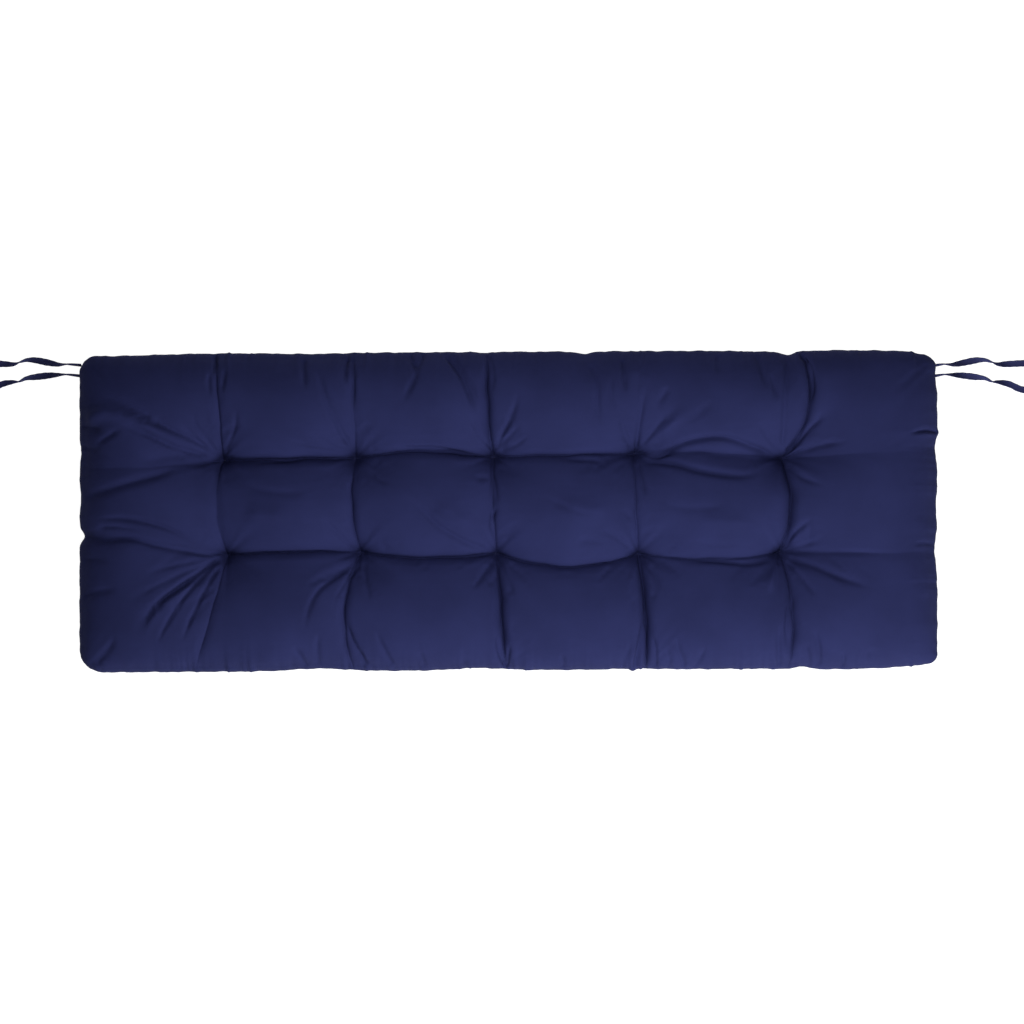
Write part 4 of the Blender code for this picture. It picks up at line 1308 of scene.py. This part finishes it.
def tie_frames(tie):
    """Middles, width directions, thickness directions and widths along a tie."""
    low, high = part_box(tie.node)
    root_x = low[0] if tie.side > 0 else -high[0]
    reach = (TIE_END - root_x) / MM
    sewn = side_reach(tie.side, tie.seam_y * MM) - root_x
    out = np.linspace(sewn / MM, reach, round((TIE_END - root_x - sewn) / TIE_STEP) + 1)
    places = [station.out + (tie.shift if 0 < number < len(TIE_STATIONS) - 1 else 0)
              for number, station in enumerate(TIE_STATIONS)]
    places[0] = sewn / MM
    places[-1] = reach
    _, heights, turns, shares = zip(*TIE_STATIONS)
    height = smooth_value(places, heights, out)
    turn = np.radians(smooth_value(places, turns, out))
    width = TIE_WIDTH * smooth_value(places, shares, out)
    lowest = TIE_WIDTH / MM / 2 * np.abs(np.sin(turn)) + TIE_THICKNESS / MM / 2 * np.abs(np.cos(turn))
    sway = smooth_value(places, tie.sway, out)
    middle = np.stack([root_x / MM + out, tie.seam_y + sway, np.maximum(height, lowest)], axis=1) * MM
    along = np.gradient(middle, axis=0)
    along /= np.linalg.norm(along, axis=1, keepdims=True)
    level = np.cross([0, 0, 1], along)
    level /= np.linalg.norm(level, axis=1, keepdims=True)
    upright = np.cross(along, level)
    flat = level * np.cos(turn)[:, None] + upright * np.sin(turn)[:, None]
    return middle, flat, np.cross(along, flat), width


print("steps along a tie", len(tie_frames(TIES[0])[0]))

# %% Strips with folded edges
# From one fold to the other: the place across, and how full the strip is there
HALF_SECTION = [
    (-1, 0), (-0.94, 0.62), (-0.82, 0.95), (-0.7, 0.9), (-0.62, 0.6), (-0.3, 0.52), (0, 0.5),
    (0.3, 0.52), (0.62, 0.6), (0.7, 0.9), (0.82, 0.95), (0.94, 0.62), (1, 0),
]
# Hand-folded edges aren't straight: how much the width changes, and how fast along the rings
WIDTH_WAVES = [(0.03, 0.9), (0.02, 0.37)]


def tie_section():
    """Half width and half thickness shares round the strip: thin in the middle, full at the folds."""
    shares = np.array(HALF_SECTION)
    return np.vstack([shares, shares[-2:0:-1] * [1, -1]])


def tie_rings(tie, section):
    """The strip's cross-section at every step along it."""
    middle, flat, thick, width = tie_frames(tie)
    number = np.arange(len(middle))
    wave = sum((amount * np.sin(number * pace) for amount, pace in WIDTH_WAVES), start=1)
    spread = flat[:, None, :] * section[None, :, :1] * (width * wave)[:, None, None] / 2
    bunched = TIE_THICKNESS * (1 + TIE_BUNCHING * (1 - width / TIE_WIDTH))
    fullness = thick[:, None, :] * section[None, :, 1:] * bunched[:, None, None] / 2
    rings = middle[:, None, :] + spread + fullness
    rings[..., 2] = np.maximum(rings[..., 2], 0)
    rings[..., 0] *= tie.side
    return rings


def build_tie(tie, material):
    section = tie_section()
    rings = tie_rings(tie, section)
    steps, count = rings.shape[:2]
    order = 1 if tie.side > 0 else -1
    faces = []
    for n in range(steps - 1):
        for k in range(count):
            a = n * count + k
            b = n * count + (k + 1) % count
            faces.append((a, b, b + count, a + count)[::order])
    last = (steps - 1) * count
    faces.append(tuple(range(count))[::-order])
    faces.append(tuple(last + k for k in range(count))[::order])
    name = tie.node + "_strip"
    mesh = bpy.data.meshes.new(name)
    mesh.from_pydata(rings.reshape(-1, 3).tolist(), [], faces)
    mesh.shade_smooth()
    run = np.repeat(np.arange(steps) * TIE_STEP, count)
    side = np.tile(section[:, 0] * TIE_WIDTH / 2, steps)
    set_cloth_map(mesh, np.stack([run, side], axis=1))
    mesh.materials.append(material)
    return add_object(name, mesh), float(steps - 1) * TIE_STEP


# The ties are the cushion's own navy cloth; this paler navy is painted light, a lit copy of the same colour
TIE_NAVY_PAINTED_PALER = (0.0275, 0.0310, 0.0970)
tie_cloth = woven_material("tie_cloth", TIE_NAVY_PAINTED_PALER, 0.12, 0.6)
for tie in TIES:
    strip, run_out = build_tie(tie, tie_cloth)
    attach(strip, "root")
    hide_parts(tie.node)
    print(strip.name, "cut", TIE_WIDTH, "by", round(run_out, 3), "faces", len(strip.data.polygons))

# %% [markdown]
# ## Thread tacks and the ties' stitches
#
# A tack is a few turns of strong thread, drawn tight and knotted, at the bottom of each tuft. The
# stitches on a tie are all alike as well. Such things are best made once and repeated, so each kind
# is one small node tree: it takes a mesh of points, sets a shape on each, and makes the result real.

# %% Thread material
THREAD_BLUE = (0.035, 0.040, 0.110)
THREAD_ROUGHNESS = 0.55
PLY_SCALE = 900.0
PLY_HEIGHT = 0.0001

thread = new_material("thread", THREAD_BLUE, THREAD_ROUGHNESS)
place = add_node(thread.node_tree, "ShaderNodeTexCoord")
ply = add_node(thread.node_tree, "ShaderNodeTexWave", bands_direction="DIAGONAL", Scale=PLY_SCALE)
bump = add_node(thread.node_tree, "ShaderNodeBump", Strength=0.5, Distance=PLY_HEIGHT)
wire(place, "Object", ply, "Vector")
wire(ply, "Fac", bump, "Height")
wire(bump, "Normal", shader_of(thread), "Normal")
print("thread nodes", len(thread.node_tree.nodes))


# %% Helpers for the node trees
def new_tree(name, numbers):
    """A node tree that takes a mesh and named numbers, with one place to send the result."""
    tree = bpy.data.node_groups.new(name, "GeometryNodeTree")
    tree.interface.new_socket("Points", in_out="INPUT", socket_type="NodeSocketGeometry")
    for label, value in numbers.items():
        socket = tree.interface.new_socket(label, in_out="INPUT", socket_type="NodeSocketFloat")
        socket.default_value = value
    tree.interface.new_socket("Thread", in_out="INPUT", socket_type="NodeSocketMaterial")
    tree.interface.new_socket("Result", in_out="OUTPUT", socket_type="NodeSocketGeometry")
    return tree, tree.nodes.new("NodeGroupInput"), tree.nodes.new("NodeGroupOutput")


def finish_tree(tree, start, end, shape, output):
    """Sets the shape on every point with its own turn, makes the copies real and paints them."""
    spots = add_node(tree, "GeometryNodeMeshToPoints")
    turn = add_node(tree, "GeometryNodeInputNamedAttribute", data_type="FLOAT_VECTOR", Name="turn")
    copies = add_node(tree, "GeometryNodeInstanceOnPoints")
    real = add_node(tree, "GeometryNodeRealizeInstances")
    paint = add_node(tree, "GeometryNodeSetMaterial")
    wire(start, "Points", spots, "Mesh")
    wire(spots, "Points", copies, "Points")
    wire(shape, output, copies, "Instance")
    wire(turn, "Attribute", copies, "Rotation")
    wire(copies, "Instances", real, "Geometry")
    wire(real, "Geometry", paint, "Geometry")
    wire(start, "Thread", paint, "Material")
    wire(paint, "Geometry", end, "Result")


def repeat_on_points(name, tree, numbers, points, turns):
    """Runs the tree on a mesh of points, each with its own turn, and gives back a plain mesh piece."""
    mesh = bpy.data.meshes.new(name + "_points")
    mesh.from_pydata([tuple(point) for point in points], [], [])
    mesh.attributes.new("turn", "FLOAT_VECTOR", "POINT").data.foreach_set("vector", np.ravel(turns))
    carrier = add_object(name + "_points", mesh)
    modifier = carrier.modifiers.new("repeat", "NODES")
    modifier.node_group = tree
    for item in tree.interface.items_tree:
        if item.in_out == "INPUT" and item.name in numbers:
            modifier[item.identifier] = numbers[item.name]
    depsgraph = bpy.context.evaluated_depsgraph_get()
    real = bpy.data.meshes.new_from_object(carrier.evaluated_get(depsgraph), depsgraph=depsgraph)
    carrier.modifiers.clear()
    bpy.data.objects.remove(carrier)
    real.shade_smooth()
    return add_object(name, real)


# %% Ten thread tacks
TACK = {"Thread radius": 0.00045, "Inner radius": 0.0019, "Outer radius": 0.0030, "Height": 0.0014}
TACK_ROUNDS = 3.5
# A tack leans by up to this angle, in radians
TACK_LEAN = 0.12


def tack_tree():
    """A coil of thread with a few rounds."""
    tree, start, end = new_tree("thread_tack", TACK)
    coil = add_node(tree, "GeometryNodeCurveSpiral", Resolution=20, Rotations=TACK_ROUNDS)
    profile = add_node(tree, "GeometryNodeCurvePrimitiveCircle", Resolution=8)
    wound = add_node(tree, "GeometryNodeCurveToMesh")
    wound.inputs["Fill Caps"].default_value = True
    wire(start, "Outer radius", coil, "Start Radius")
    wire(start, "Inner radius", coil, "End Radius")
    wire(start, "Height", coil, "Height")
    wire(start, "Thread radius", profile, "Radius")
    wire(coil, "Curve", wound, "Curve")
    wire(profile, "Curve", wound, "Profile Curve")
    finish_tree(tree, start, end, wound, "Mesh")
    return tree


def nearest_top_point(x, y):
    gap = np.hypot(plan_x - x, plan_y - y)
    return top_points[np.unravel_index(gap.argmin(), gap.shape)]


tack_points = [nearest_top_point(x, y) + [0, 0, TACK["Thread radius"]] for x, y in TUFTS]
tack_turns = [(TACK_LEAN * math.sin(n * 2.1), TACK_LEAN * math.cos(n * 1.7), n * 1.3)
              for n in range(len(TUFTS))]
tacks = repeat_on_points("thread_tacks", tack_tree(), TACK | {"Thread": thread}, tack_points, tack_turns)
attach(tacks, "root")
print("tacks", len(TUFTS), "faces", len(tacks.data.polygons))

# %% A line of stitches on each tie
STITCH = {"Thread radius": 0.0002, "Length": 0.0021}
# One stitch to so many steps of the strip, and how many steps stay free at its start and end
STITCH_PITCH = 2
FREE_STEPS = (3, 2)
# The line of stitches as a share of the way from the middle to the fold, and how deep it lies
STITCH_SHARE = 0.76
STITCH_DEPTH = 0.46


def stitch_tree():
    """A long bead: the part of a stitch that shows."""
    tree, start, end = new_tree("stitch", STITCH)
    bead = add_node(tree, "GeometryNodeMeshUVSphere", Segments=8, Rings=6, Radius=1.0)
    size = add_node(tree, "ShaderNodeCombineXYZ")
    half = add_node(tree, "ShaderNodeMath", operation="MULTIPLY")
    half.inputs[1].default_value = 0.5
    shape = add_node(tree, "GeometryNodeTransform")
    wire(start, "Length", half, 0)
    wire(half, "Value", size, "X")
    wire(start, "Thread radius", size, "Y")
    wire(start, "Thread radius", size, "Z")
    wire(bead, "Mesh", shape, "Geometry")
    wire(size, "Vector", shape, "Scale")
    finish_tree(tree, start, end, shape, "Geometry")
    return tree


def stitch_places(tie):
    """Both faces of the strip, along the fold that is sewn shut."""
    middle, flat, thick, width = tie_frames(tie)
    picked = slice(FREE_STEPS[0], len(middle) - FREE_STEPS[1], STITCH_PITCH)
    along = np.gradient(middle, axis=0)
    places = []
    turns = []
    fold = middle + flat * (width * STITCH_SHARE / 2)[:, None]
    for face in (-1, 1):
        line = fold + thick * face * TIE_THICKNESS * STITCH_DEPTH
        for place, run in zip(line[picked], along[picked]):
            if place[2] > STITCH["Thread radius"]:
                heading = math.atan2(run[1], run[0] * tie.side)
                places.append((place[0] * tie.side, place[1], place[2]))
                turns.append((0, -math.atan2(run[2], math.hypot(run[0], run[1])), heading))
    return places, turns


stitches = stitch_tree()
for tie in TIES:
    places, turns = stitch_places(tie)
    line = repeat_on_points(tie.node + "_stitches", stitches, STITCH | {"Thread": thread}, places, turns)
    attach(line, "root")
    print(line.name, len(places), "stitches")
